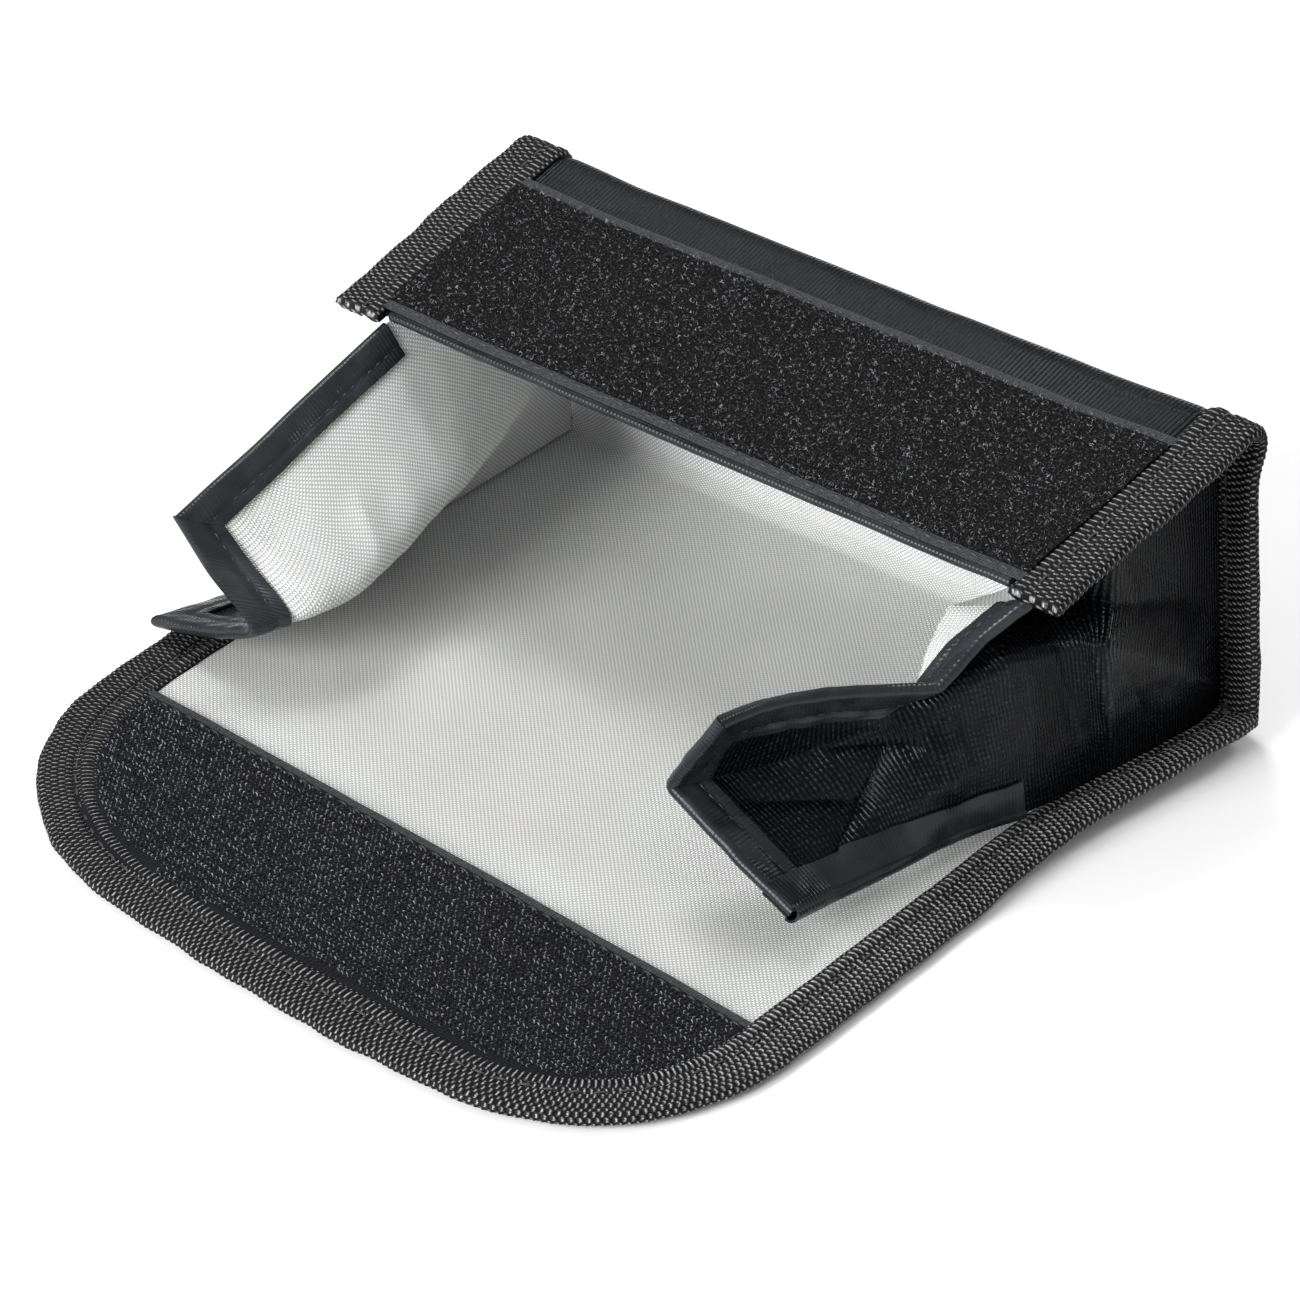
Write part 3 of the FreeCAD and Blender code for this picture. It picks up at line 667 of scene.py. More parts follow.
def wall_grid(side):
    """One gusset and ear as a fine grid: points, unit vectors out of the bag, run and rise."""
    net = np.array(gusset_folds[side]) * mm
    net[..., 0] = outward_way[side] * (seam_x + 1 * mm - net[..., 0])
    rows, columns = (np.linspace(0, size - 1, net_step * (size - 1) + 1) for size in net.shape[:2])
    soft, crisp = (
        way(way(net, rows).swapaxes(0, 1), columns).swapaxes(0, 1) for way in (through, straight)
    )
    points = soft + crispness[side] * (crisp - soft)
    for _ in range(smoothings[side]):
        points[1:-1] = 0.5 * points[1:-1] + 0.25 * (points[:-2] + points[2:])
        points[:, 1:-1] = 0.5 * points[:, 1:-1] + 0.25 * (points[:, :-2] + points[:, 2:])
    row_steps = np.linalg.norm(np.diff(points, axis=0), axis=-1).mean(axis=1)
    run = np.concatenate([[0], np.cumsum(row_steps)])
    steps = np.linalg.norm(np.diff(points, axis=1), axis=-1)
    rise = np.concatenate([np.zeros((len(rows), 1)), np.cumsum(steps, axis=1)], axis=1)
    reach = np.broadcast_to(run[:, None], rise.shape)
    free = np.sin(np.clip(rise / rise[:, -1:], 0, 0.999) * math.pi) ** 0.5 * ease(reach, 0, 10 * mm)
    crumple = broad_crumple * ripple(reach, rise, 14 * mm, crumple_seed[side])
    crumple = crumple + fine_crumple[side] * ripple(reach, rise, 5 * mm, crumple_seed[side])
    for run_a, rise_a, run_b, rise_b, depth, width in creases[side]:
        start, way = np.array([run_a, rise_a]) * mm, np.array([run_b - run_a, rise_b - rise_a]) * mm
        place = np.stack([reach, rise], -1) - start
        share = np.clip((place @ way) / (way @ way), 0, 1)
        away = np.linalg.norm(place - share[..., None] * way, axis=-1)
        crumple = crumple - depth * mm * np.exp(-away / (width * mm)) * np.sin(share * 3.14) ** 0.4
    points = points + out_of_sheet(points, side) * (crumple * free)[..., None]
    return points, out_of_sheet(points, side), run, rise


walls = {side: wall_grid(side) for side in ("left", "right")}
mouth_run = {side: walls[side][2][net_step * mouth_row[side]] for side in walls}
wall_end = {side: walls[side][2][-1] for side in walls}


def on_wall(side, run, rise, offset, whole=0):
    """Points of a gusset or ear, at a distance from the base and up from the foot.

    offset is out of the sheet. rise is added to whole times the sheet's full height at that run.
    """
    points, outs, runs, rises = walls[side]
    run, rise, offset = np.broadcast_arrays(run, rise, offset)
    row = np.interp(run, runs, np.arange(len(runs)))
    over = (run - runs[-1]) / (runs[-1] - runs[-2])
    before = np.clip(row.astype(int), 0, len(runs) - 2)
    part = row - before + np.clip(over, 0, None)
    profile = rises[before] * (1 - part)[..., None] + rises[before + 1] * part[..., None]
    rise = rise + whole * profile[..., -1]
    left = np.clip((profile <= rise[..., None]).sum(-1) - 1, 0, profile.shape[-1] - 2)
    low = np.take_along_axis(profile, left[..., None], -1)[..., 0]
    high = np.take_along_axis(profile, left[..., None] + 1, -1)[..., 0]
    share = (rise - low) / (high - low)
    share, part = share[..., None], part[..., None]
    place, out = (
        (field[before, left] * (1 - share) + field[before, left + 1] * share) * (1 - part)
        + (field[before + 1, left] * (1 - share) + field[before + 1, left + 1] * share) * part
        for field in (points, outs)
    )
    return place + out * offset[..., None]


def wall_height(side, run):
    """The sheet's full height at a distance from the base."""
    return np.interp(run, walls[side][2], walls[side][3][:, -1])


def wall_place(side, first, last, offset, short=0.0):
    """Where one ply of a gusset or ear lies, between two runs, stopping short of its free edges."""

    def place(across, along):
        run = first + along * (last - first)
        height = wall_height(side, run)
        rise = short + across * (height - 2 * short)
        return on_wall(side, run, rise, offset), measured(run, rise)

    return place


def flatten_ear(piece):
    """Gives a piece of an ear a mesh of its own."""
    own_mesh(piece)


for side in ("left", "right"):
    for layer, offset, gauge, finish, slot in (
        ("cloth", ply, cloth_gauge, coated_black, "coated_cloth"),
        ("lining", -ply, lining_gauge, silver_weave, "silver_lining"),
    ):
        gusset = wall_place(side, 0, mouth_run[side], offset)
        wall = make_cloth(f"{side}_gusset_{layer}_sheet", (90, 72), gusset, gauge, finish)
        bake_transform(wall)
        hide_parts(f"{side}_gusset_{layer}")

        ear_end = wall_end[side] - 1 * mm
        ear = wall_place(side, mouth_run[side], ear_end, offset, ear_edge_inset)
        free_end = make_cloth(f"{side}_ear_{layer}_sheet", (90, 84), ear, gauge, finish)
        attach(free_end, f"{side}_ear")
        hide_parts(f"{side}_ear_{layer}")
        flatten_ear(free_end)

# ---------------------------------------------------------------- the hems of the ears
# A strip of the coated cloth is folded over each ear's free edges and sewn through with one row.
# The corners are mitred. The right ear's foot is folded loosely, and its end shows as a roll.

hem_width = 7.4 * mm
hem_gauge = 0.45 * mm
hem_stand = 1.15 * mm
hem_fold = 0.7 * mm
loose_fold = 1.75 * mm
hem_row = 5 * mm
hem_groove = 0.3 * mm
fine_pucker, broad_pucker = 0.16 * mm, 0.22 * mm
hem_seed = {"top": 3.3, "front": 8.1, "foot": 12.9}


def hem_finish():
    """The coated cloth where it is folded flat: nearly smooth, with a dull cool gloss."""
    finish, tree, shader, measure = new_finish("coated_hem", 0.3, 0.22)
    rib = place_group(tree, ribs, measure, 0.9 * mm, 1.1 * mm)
    cloud = speckle(tree, measure, 120, 2)
    colour(tree, shader, cloud, (0.0035, 0.0041, 0.0055), (0.028, 0.031, 0.036))
    wire(tree, shader.inputs["Roughness"], level_range(tree, cloud, 0.0, 0.52))
    raise_surface(tree, shader, rib["Height"], 0.05 * mm)
    return finish


coated_hem = hem_finish()


def hem_section(loose):
    """A folded hem cut across: distance in from the edge, and offset out of the sheet."""
    flat = np.linspace(1, 0, 15)[:-1] ** 1.2 * (hem_width - hem_fold) + hem_fold
    angles = np.radians(np.linspace(-90, 90, 9))
    fold = [(hem_fold - loose * math.cos(a), loose * math.sin(a)) for a in angles]
    inner = [(d, -hem_stand) for d in flat]
    outer = [(d, hem_stand) for d in flat[::-1]]
    return np.array(inner + fold + outer)


def hem_place(side, edge, loose, mitred):
    """Where the hem along one free edge of an ear lies: its top, front or foot."""
    section = hem_section(loose)

    def place(across, along):
        distance, offset = section[None, :, 0], section[None, :, 1]
        start, end = mouth_run[side], wall_end[side]
        seed = hem_seed[edge] + (20 if side == "left" else 0)
        pucker = fine_pucker * ripple(along * 60 * mm, distance, 3.2 * mm, seed)
        pucker = pucker + broad_pucker * ripple(along * 60 * mm, distance, 9 * mm, seed)
        groove = hem_groove * hump(distance, hem_row, 0.7 * mm)
        thickness = np.abs(offset) + (pucker - groove) * (np.abs(offset) > 0.9 * loose)
        offset = np.sign(offset) * thickness
        if edge == "front":
            run = end - distance + 0 * along
            height = wall_height(side, np.clip(run, 0, end))
            foot = distance if mitred else 0.5 * mm
            rise = foot + along * (height - distance - foot)
            whole = 0
        else:
            last = end - distance if mitred or edge == "top" else end + 0.4 * mm
            run = start + along * (last - start)
            whole = 0 if edge == "foot" else 1
            rise = (distance if edge == "foot" else -distance) + 0 * along
        length = run - start if edge != "front" else rise
        return on_wall(side, run, rise, offset, whole), measured(length, lengths(section)[None, :])

    return place, len(section) - 1


for side in ("left", "right"):
    loose_foot = side == "right"
    for edge, steps in (("top", 90), ("front", 84), ("foot", 90)):
        loose = loose_fold if edge == "foot" and loose_foot else hem_stand
        place, across = hem_place(side, edge, loose, not (loose_foot and edge != "top"))
        hem = make_cloth(f"{side}_ear_{edge}_hem", (across, steps), place, hem_gauge, coated_hem)
        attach(hem, f"{side}_ear")
        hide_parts(f"{side}_ear_hem")
        flatten_ear(hem)

# ---------------------------------------------------------------- the hem of the mouth
# The front panel's edge at the mouth is finished with a narrow folded strip of the coated cloth,
# sewn under the loop strip. Its fold shows as a thin dark line along the mouth.

mouth_hem_width = 8 * mm


def mouth_hem_place(across, along):
    """The folded strip, from its edge inside the mouth round the panel's edge to its outer side."""
    angles = np.radians(np.linspace(90, -90, 9))
    inner = [(mouth_hem_width * (1 - t), 1.85 * mm) for t in np.linspace(0, 0.94, 8)]
    fold = [(0.5 * mm - 0.85 * mm * math.cos(a), (1 + 0.85 * math.sin(a)) * mm) for a in angles]
    outer = [(mouth_hem_width * t, 0.15 * mm) for t in np.linspace(0.08, 1, 8)]
    section = np.array(inner + fold + outer)
    x = (along - 0.5) * 2 * (seam_x - 1.3 * mm)
    run, depth = section[None, :, 0], section[None, :, 1]
    wave = 0.25 * mm * ripple(x, 0 * run, 11 * mm, 33.3)
    return on_strip(x, run, depth + wave), measured(x, lengths(section)[None, :])


mouth_hem = make_cloth("front_mouth_folded_hem", (24, 130), mouth_hem_place, hem_gauge, coated_hem)
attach(mouth_hem, "bag_body")
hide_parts("front_mouth_hem")

# ---------------------------------------------------------------- the loop strip
# A wide strip of black loop tape covers most of the front panel: a woven ground with a selvage
# along both long edges and a dense, napped pile of fine nylon loops. It is sewn on along them.

loop_start = 0.7 * mm
loop_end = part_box("loop_strip")[1].y
loop_end = (loop_end - mouth_y) / math.cos(front_slope) - 1.5 * mm
selvage_width = 1.9 * mm
loop_half = seam_x + 1 * mm
tape_gauge = 0.5 * mm
pile_height = 1.15 * mm
curls_each_side = 5200


def selvage_finish():
    """The plain woven edge of hook and loop tape: fine black threads with a grey shine painted on
    their crowns.
    """
    finish, tree, shader, measure = new_finish("tape_selvage", 0.5, 0.2)
    maths = partial(sum_node, tree)
    weave = place_group(tree, threads, measure, 0.62 * mm, 0.5 * mm)
    grain = speckle(tree, measure, 1500, 2)
    # Painted sheen: the thread crowns are coloured grey, broken into grains.
    painted_glint_tone = maths("MULTIPLY", weave["Height"], maths("MULTIPLY_ADD", grain, 1.5, -0.25))
    colour(tree, shader, painted_glint_tone, (0.003, 0.003, 0.0035), (0.09, 0.093, 0.1))
    raise_surface(tree, shader, weave["Height"], 0.2 * mm)
    return finish


def pile_finish():
    """Black nylon pile, with painted glints of its fibre ends in fine grey specks."""
    finish, tree, shader, measure = new_finish("loop_pile_black", 0.7, 0.08)
    maths = partial(sum_node, tree)
    fine, coarse = speckle(tree, measure, 2300, 2), speckle(tree, measure, 420, 2)
    painted_spark = level_range(tree, fine, 0, 1, 0.5, 0.72)
    clump = level_range(tree, coarse, 0.35, 1.1, 0.3, 0.7)
    # Painted glints: fine grey specks of fibre ends, gathered in clumps.
    painted_glint_tone = maths("MULTIPLY", maths("POWER", painted_spark, 1.6), clump)
    colour(tree, shader, painted_glint_tone, (0.0008, 0.0008, 0.001), (0.07, 0.072, 0.078))
    normal = raise_surface(tree, shader, coarse, 0.5 * mm)
    raise_surface(tree, shader, fine, 0.3 * mm, normal)
    return finish


tape_selvage = selvage_finish()
loop_pile_black = pile_finish()


def strip_band(low, high, depth, bumps=0.0, wave=0.0):
    """Where a band of tape lies on the front panel, between two distances from the mouth."""

    def place(across, along):
        x = (across - 0.5) * 2 * loop_half
        edge = wave * ripple(x, 0 * along, 9 * mm, low * 900)
        run = low + along * (high - low) + edge * np.abs(2 * along - 1)
        nap = bumps * (ripple(x, run, 1.1 * mm, 2.2) + 0.8 * ripple(x, run, 0.55 * mm, 6.1))
        low_edge = 0.8 * np.clip(np.minimum(along, 1 - along) * 30, 0, 1) + 0.2
        return on_strip(x, run, (depth + nap) * (low_edge if bumps else 1)), measured(x, run)

    return place


ground_place = strip_band(loop_start, loop_end, -0.4 * mm, wave=0.12 * mm)
pile_start, pile_end = loop_start + selvage_width, loop_end - selvage_width
pile_place = strip_band(pile_start, pile_end, -pile_height, bumps=0.28 * mm)
for name, squares, place, finish in (
    ("loop_strip_ground", (120, 34), ground_place, tape_selvage),
    ("loop_strip_pile", (300, 96), pile_place, loop_pile_black),
):
    loop_tape = make_cloth(name, squares, place, tape_gauge, finish)
    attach(loop_tape, "bag_body")
    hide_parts("loop_strip")


def bent_filament(name, thickness, radius, low_angle, turn, steps):
    """A short three-sided filament bent round an arc that stands up from its foot."""
    bpy.ops.object.select_all(action="DESELECT")
    bpy.ops.mesh.primitive_circle_add(
        vertices=3,
        radius=thickness / 2,
        fill_type="NGON",
        location=(radius * math.cos(low_angle), 0, -radius * math.sin(low_angle)),
        rotation=(0, low_angle, 0),
    )
    filament = bpy.context.object
    filament.name = name
    bpy.ops.object.transform_apply(location=True, rotation=True, scale=True)
    bpy.ops.object.mode_set(mode="EDIT")
    bpy.ops.mesh.select_all(action="SELECT")
    bpy.ops.mesh.spin(steps=steps, angle=turn, center=(0, 0, 0), axis=(0, -1, 0))
    bpy.ops.mesh.select_all(action="SELECT")
    bpy.ops.mesh.normals_make_consistent(inside=False)
    bpy.ops.object.mode_set(mode="OBJECT")
    return filament


def copies(name, model, places, alongs, ups, sizes, finish):
    """A piece made of copies of a model, each with its X along, its Z up and its own size."""
    corners = np.empty(len(model.data.vertices) * 3)
    model.data.vertices.foreach_get("co", corners)
    corners = corners.reshape(-1, 3)
    faces = [tuple(face.vertices) for face in model.data.polygons]
    ups = unit(ups)
    alongs = unit(alongs - (alongs * ups).sum(1)[:, None] * ups)
    axes = np.stack([alongs, np.cross(ups, alongs), ups], 1)
    points = places[:, None] + np.einsum("vk,nkc->nvc", corners, axes) * sizes.reshape(-1, 1, 1)
    mesh = bpy.data.meshes.new(name)
    starts = range(0, len(places) * len(corners), len(corners))
    every = [tuple(start + corner for corner in face) for start in starts for face in faces]
    mesh.from_pydata(points.reshape(-1, 3), [], every)
    mesh.polygons.foreach_set("use_smooth", np.ones(len(mesh.polygons), bool))
    piece = bpy.data.objects.new(name, mesh)
    bpy.context.scene.collection.objects.link(piece)
    mesh.materials.append(finish)
    return piece


def fibre_finish(name, low, high, roughness, scale):
    """Fine nylon fibres whose shade changes from one to the next, the pale ones painted glints."""
    finish, tree, shader, _ = new_finish(name, roughness, 0.3)
    place = tree.nodes.new("ShaderNodeTexCoord").outputs["Object"]
    # Painted glints: some fibres are coloured pale grey at random.
    shade = level_range(tree, speckle(tree, place, scale), 0, 1, 0.46, 0.72)
    colour(tree, shader, shade, low, high)
    dull = level_range(tree, speckle(tree, place, scale / 4), roughness - 0.12, roughness + 0.15)
    wire(tree, shader.inputs["Roughness"], dull)
    return finish


# The pale fibres of the pile's curls and of the hooks are painted glints.
pile_fibre = fibre_finish("pile_fibre", (0.0015, 0.0015, 0.002), (0.5, 0.505, 0.53), 0.4, 900)
chance = np.random.default_rng(20)
curl = bent_filament("curl_model", 0.1 * mm, 0.36 * mm, math.radians(35), math.radians(250), 5)
panel_up = [0, -math.sin(front_slope), math.cos(front_slope)]
for side, outwards in outward_way.items():
    count = curls_each_side
    x = chance.uniform(0, loop_half, count) * outwards
    run = chance.uniform(pile_start + 0.2 * mm, pile_end - 0.2 * mm, count)
    places = on_strip(x, run, -pile_height - chance.uniform(0.1, 0.45, count) * mm)
    ups = np.array([panel_up]) + chance.normal(0, 0.55, (count, 3))
    alongs = chance.normal(0, 1, (count, 3))
    sizes = chance.uniform(0.65, 1.15, count)
    curls = copies(f"loop_strip_curls_{side}", curl, places, alongs, ups, sizes, pile_fibre)
    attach(curls, "bag_body")
    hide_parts("loop_strip")

# ---------------------------------------------------------------- the hook strip
# The matching hook tape fills the flap's rounded end: a woven ground with one selvage along its
# straight edge and close, slightly slanting rows of small stiff hooks that face left and right.

hook_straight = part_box("hook_strip")[1].y
hook_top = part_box("hook_strip")[0].z + 0.45 * mm
hook_run = strip_end - (hook_straight - flap_y) + 0.4 * mm
hook_skew = 0.041
hook_row_pitch = 1.08 * mm
hook_pitch = 1.12
hook_sink = 0.72 * mm
hooks_left_inset, hooks_right_inset = 14.2 * mm, 12.4 * mm
solid_lining_top = 1.6 * mm


def hook_ground_finish():
    """The hook tape's woven ground: dark blue-black with fine cross threads, painted darker in the
    gaps as painted shade.
    """
    finish, tree, shader, measure = new_finish("hook_tape_ground", 0.6, 0.12)
    weave = place_group(tree, threads, measure, 1 * mm, 0.64 * mm)
    # Painted shade: the threads' crowns a little lighter, the gaps between them darker.
    colour(tree, shader, weave["Height"], (0.0006, 0.0006, 0.001), (0.006, 0.0065, 0.009))
    raise_surface(tree, shader, weave["Height"], 0.25 * mm)
    return finish


hook_tape_ground = hook_ground_finish()


def hook_level(height):
    """How deep in the strip a height lies that is measured on the solid flap."""
    return height - solid_lining_top + lining_depth


def hook_band(first, last, height, inset):
    """Where hook tape lies on the flap's end, its straight edge a little out of square."""

    def place(across, along):
        start = first + hook_skew * flap_across(across, first, inset)
        end = last + hook_skew * flap_across(across, first, inset) * (last < strip_end - 20 * mm)
        run = start + np.sin(along * math.pi / 2) ** 0.9 * (end - start)
        x = flap_across(across, run, inset)
        return on_strip(x, run, hook_level(height)), measured(x, run)

    return place


hook_ground_place = hook_band(hook_run, strip_end - 9.8 * mm, hook_top + 0.2 * mm, 9.8 * mm)
hook_edge_end = hook_run + 1.5 * mm
hook_edge_place = hook_band(hook_run - 0.1 * mm, hook_edge_end, hook_top + 0.45 * mm, 10.2 * mm)
for name, squares, place, gauge, finish in (
    ("hook_strip_ground", (120, 50), hook_ground_place, tape_gauge, hook_tape_ground),
    ("hook_strip_selvage", (240, 5), hook_edge_place, 0.4 * mm, tape_selvage),
):
    hook_tape = make_cloth(name, squares, place, gauge, finish)
    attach(hook_tape, "flap_tongue")
    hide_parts("hook_strip")

hook_nylon = fibre_finish("hook_nylon", (0.001, 0.001, 0.002), (0.28, 0.287, 0.315), 0.35, 900)
hook = bent_filament("hook_model", 0.24 * mm, 0.4 * mm, math.radians(50), math.radians(235), 5)
hook_places, hook_alongs = [], []
hook_rows = np.arange(hook_run - 1.5 * mm, strip_end - 10 * mm, hook_row_pitch)
for number, start in enumerate(hook_rows):
    x = np.arange(-84, 84, hook_pitch) * mm + (number % 5) * 0.22 * mm
    x = x + chance.normal(0, 0.05, len(x)) * mm
    run = start + hook_skew * x + chance.normal(0, 0.05, len(x)) * mm
    low, high = flap_across(0, run, hooks_left_inset), flap_across(1, run, hooks_right_inset)
    first_run = hook_run + hook_skew * x + 1.9 * mm
    inside = (x > low) & (x < high) & (run < strip_end - 11.2 * mm) & (run > first_run)
    x, run = x[inside], run[inside]
    hook_places.append(on_strip(x, run, hook_level(hook_top) + hook_sink))
    hook_alongs.append(np.tile([1 if number % 2 else -1, 0.25, 0], (len(x), 1)))
hook_places, hook_alongs = np.concatenate(hook_places), np.concatenate(hook_alongs)
hook_ups = np.array([[0, 0, 1.0]]) + chance.normal(0, 0.12, (len(hook_places), 3))
hook_sizes = chance.uniform(0.9, 1.15, len(hook_places))
hooks = copies("hook_strip_hooks", hook, hook_places, hook_alongs, hook_ups, hook_sizes, hook_nylon)
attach(hooks, "flap_tongue")
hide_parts("hook_strip")

# ---------------------------------------------------------------- the binding
# A heavy webbing tape is folded over the seam down each side and round the flap's end, and sewn
# through with one row. It is ribbed across, each rib a row of thick yarns.

tape_width = 12 * mm
body_tape_gauge = 3.5 * mm
flap_tape_gauge = 2.8 * mm
rib_pitch = 1.4 * mm
yarn_width = 2 * mm
rib_height = 0.34 * mm
seam_groove = 4.3 * mm
fold_reach = 1.7 * mm
proud = 1.2 * mm
overhang = 2.4 * mm
side_length = parting + overhang
steps_per_rib = 5
joint_reach = 9 * mm
cut_round = 0.5 * mm
# How far the tape sinks along its sewing and along its inner edge, on each face.
top_sink, bottom_sink = (0.5 * mm, 0.4 * mm), (0.4 * mm, 0.7 * mm)


def webbing_finish():
    """Black nylon webbing: each yarn's crown has a painted highlight, a thin pale line drawn with
    fine filaments.
    """
    finish, tree, shader, measure = new_finish("black_webbing", 0.55, 0.14)
    maths = partial(sum_node, tree)
    split = new_node(tree, "SeparateXYZ", {0: measure})
    yarn = maths("DIVIDE", split.outputs[0], yarn_width)
    yarn_number = maths("FLOOR", yarn)
    yarn_part = maths("MULTIPLY_ADD", maths("SUBTRACT", yarn, yarn_number), 2, -1)
    odd = maths("MULTIPLY", maths("PINGPONG", yarn_number, 1), 0.5)
    rib = maths("ADD", maths("DIVIDE", split.outputs[1], rib_pitch), odd)
    arched = maths("MULTIPLY_ADD", maths("MULTIPLY", yarn_part, yarn_part), 0.12, rib)
    wander = speckle(tree, measure, 700, 2)
    arched = maths("MULTIPLY_ADD", wander, 0.25, arched)
    crown = maths("ABSOLUTE", maths("COSINE", maths("MULTIPLY", arched, math.pi)))
    narrow = maths("SUBTRACT", 1, maths("POWER", maths("ABSOLUTE", yarn_part), 4))
    height = maths("MULTIPLY", maths("POWER", crown, 1.3), narrow)
    filament = speckle(tree, measure, 2600, 2)
    # Painted highlight: a thin pale line along each yarn's crown, broken into filaments.
    line = maths("MULTIPLY", maths("POWER", crown, 14), narrow)
    line = maths("MULTIPLY", line, level_range(tree, filament, 0, 1.4, 0.36, 0.66))
    painted_glint_tone = maths("MULTIPLY_ADD", height, 0.02, line)
    colour(tree, shader, painted_glint_tone, (0.001, 0.001, 0.0012), (0.38, 0.383, 0.39))
    normal = raise_surface(tree, shader, height, 0.14 * mm)
    raise_surface(tree, shader, filament, 0.06 * mm, normal)
    return finish


black_webbing = webbing_finish()


def tape_section():
    """The folded tape cut across: distance from its inner edge, and level from face to face."""
    flat_part = tape_width - fold_reach
    top = [(a, 1.0) for a in np.linspace(0.1 * mm, flat_part, 27)]
    angles = np.radians(np.linspace(75, -75, 8))
    fold = [(flat_part + fold_reach * math.cos(a), 0.5 + 0.5 * math.sin(a)) for a in angles]
    bottom = [(a, 0.0) for a, _ in reversed(top)]
    return np.array(top + fold + bottom + top[:1])


tape_line = tape_section()
tape_across = lengths(tape_line * [1, 3 * mm])
tape_round = tape_across[-2]
yarn_edges = np.array([0, 0.5, 3.3, 4.8, 6.2, 7.6, 9, 10]) * mm
middle_edges = np.linspace(10 * mm, tape_round - 10 * mm, 5)[1:-1]
yarn_edges = np.concatenate([yarn_edges, middle_edges, tape_round - yarn_edges[::-1]])
yarn_place = np.interp(tape_across, yarn_edges, np.arange(len(yarn_edges)))


def lay_tape(name, frames, length, gauge_at, cut_end):
    """A webbing tape folded over an edge, its inner edge, outward way and face given by frames.

    It runs on from another tape at its start, and cut_end says whether it is cut at its end.
    """
    ribs_along = round(length / rib_pitch)
    squares = (len(tape_line) - 1, ribs_along * steps_per_rib)

    def place(_, share_along):
        distance = share_along[:, 0] * length
        edge, outward, upward = frames(distance)
        gauge = gauge_at(distance)[:, None]
        a, level = tape_line[None, :, 0], tape_line[None, :, 1]
        on_top, on_bottom = level > 0.9, level < 0.1
        groove, edge_dip = hump(a, seam_groove, 0.8 * mm), hump(a, 0, 1.1 * mm)
        h = level * gauge - on_top * (top_sink[0] * groove + top_sink[1] * edge_dip)
        h = h + on_bottom * (bottom_sink[0] * groove + bottom_sink[1] * edge_dip)
        rib_number = distance[:, None] / length * ribs_along
        rib = rib_number + 0.5 * (np.floor(yarn_place[None, :]) % 2)
        yarn_crown = 1 - np.abs(2 * (yarn_place[None, :] % 1) - 1) ** 4
        bead = yarn_crown * np.abs(np.cos(rib * math.pi)) ** 0.8
        rough = 1 + 0.25 * ripple(distance[:, None] + 3, tape_across[None, :], 2.3 * mm, 5.5)
        swell = rib_height * (bead - 1) * rough
        away_h = np.where(on_top, 1, np.where(on_bottom, -1, (level - 0.5) * 2))
        away_a = np.sqrt(np.clip(1 - away_h**2, 0, 1))
        joined = 1 - np.exp(-distance / joint_reach)
        joined = joined - np.exp((distance - length) / joint_reach) * (not cut_end)
        wander = 0.55 * mm * ripple(distance, 0, 11 * mm, 11.3)
        wander = wander + 0.3 * mm * ripple(distance, 0, 5 * mm, 1.3)
        inner_wander = 0.3 * mm * ripple(distance, 0, 9 * mm, 17.9) * joined
        full = np.clip((length - distance) / cut_round, 0, 1)[:, None] if cut_end else 1
        middle = level * 0 + gauge / 2
        h = middle + (h - middle) * full
        share = a / tape_width
        a = a + swell * away_a + (wander * joined)[:, None] * share
        a = a + inner_wander[:, None] * (1 - share)
        h = h + swell * away_h * full
        points = edge[:, None] + outward[:, None] * a[..., None] + upward[:, None] * h[..., None]
        return points, measured(yarn_place[None, :] * yarn_width, rib_number * rib_pitch)

    return make_cloth(name, squares, place, 0, black_webbing, doubles=0.01 * mm)


def side_frames(outwards):
    """The side binding's line: its seam from the flap's cover back to the top of the mouth."""

    def frames(distance):
        run = parting - distance
        stands = proud * (1 - ease(run, base_foot - 14 * mm, base_foot + 4 * mm))
        point = on_strip(np.full_like(run, outwards * (bag_x - tape_width)), run, -stands)
        inward_y, inward_z = (np.interp(run, strip_run, line) for line in strip_inward.T)
        inward = np.stack([0 * run, inward_y, inward_z], 1)
        _, lean = splayed(np.full_like(run, outwards), run)
        sideways = np.array([[outwards, 0, 0]])
        outward = unit(sideways + inward * lean[:, None])
        return point, outward, unit(inward - sideways * lean[:, None])

    return frames


def side_gauge(distance):
    """The tape is thicker round the body, where it holds the gusset's edge too."""
    body_start = mouth_y - parting_y
    share = ease(distance, body_start - 5 * mm, body_start + 5 * mm)
    return flap_tape_gauge + (body_tape_gauge - flap_tape_gauge) * share


end_radii = (left_flap_radius, right_flap_radius)
end_straights = [parting_y - flap_y - radius for radius in end_radii]
end_arcs = [(radius - tape_width / 2) * math.pi / 2 for radius in end_radii]
end_bottom = 2 * bag_x - left_flap_radius - right_flap_radius
end_parts = [end_straights[0], end_arcs[0], end_bottom, end_arcs[1], end_straights[1]]
end_starts = np.cumsum([0, *end_parts])
end_length = end_starts[-1]

# The flap's end is not quite true: how far its edge lies outside a plain rounded outline, at
# distances down its left side, round the end and up its right side, in millimetres.
end_wander = np.array(
    [
        (0, -0.1), (33, -1.5), (55, -2.4), (71, -2.2), (98, -2.8), (119, -1.7), (134, -0.2),
        (160, 1.4), (190, 1.8), (209, 0.9), (220, -0.5), (241, -1.1), (257, -2), (267, -1.2),
        (305, -0.7), (326, -0.6),
    ]
)


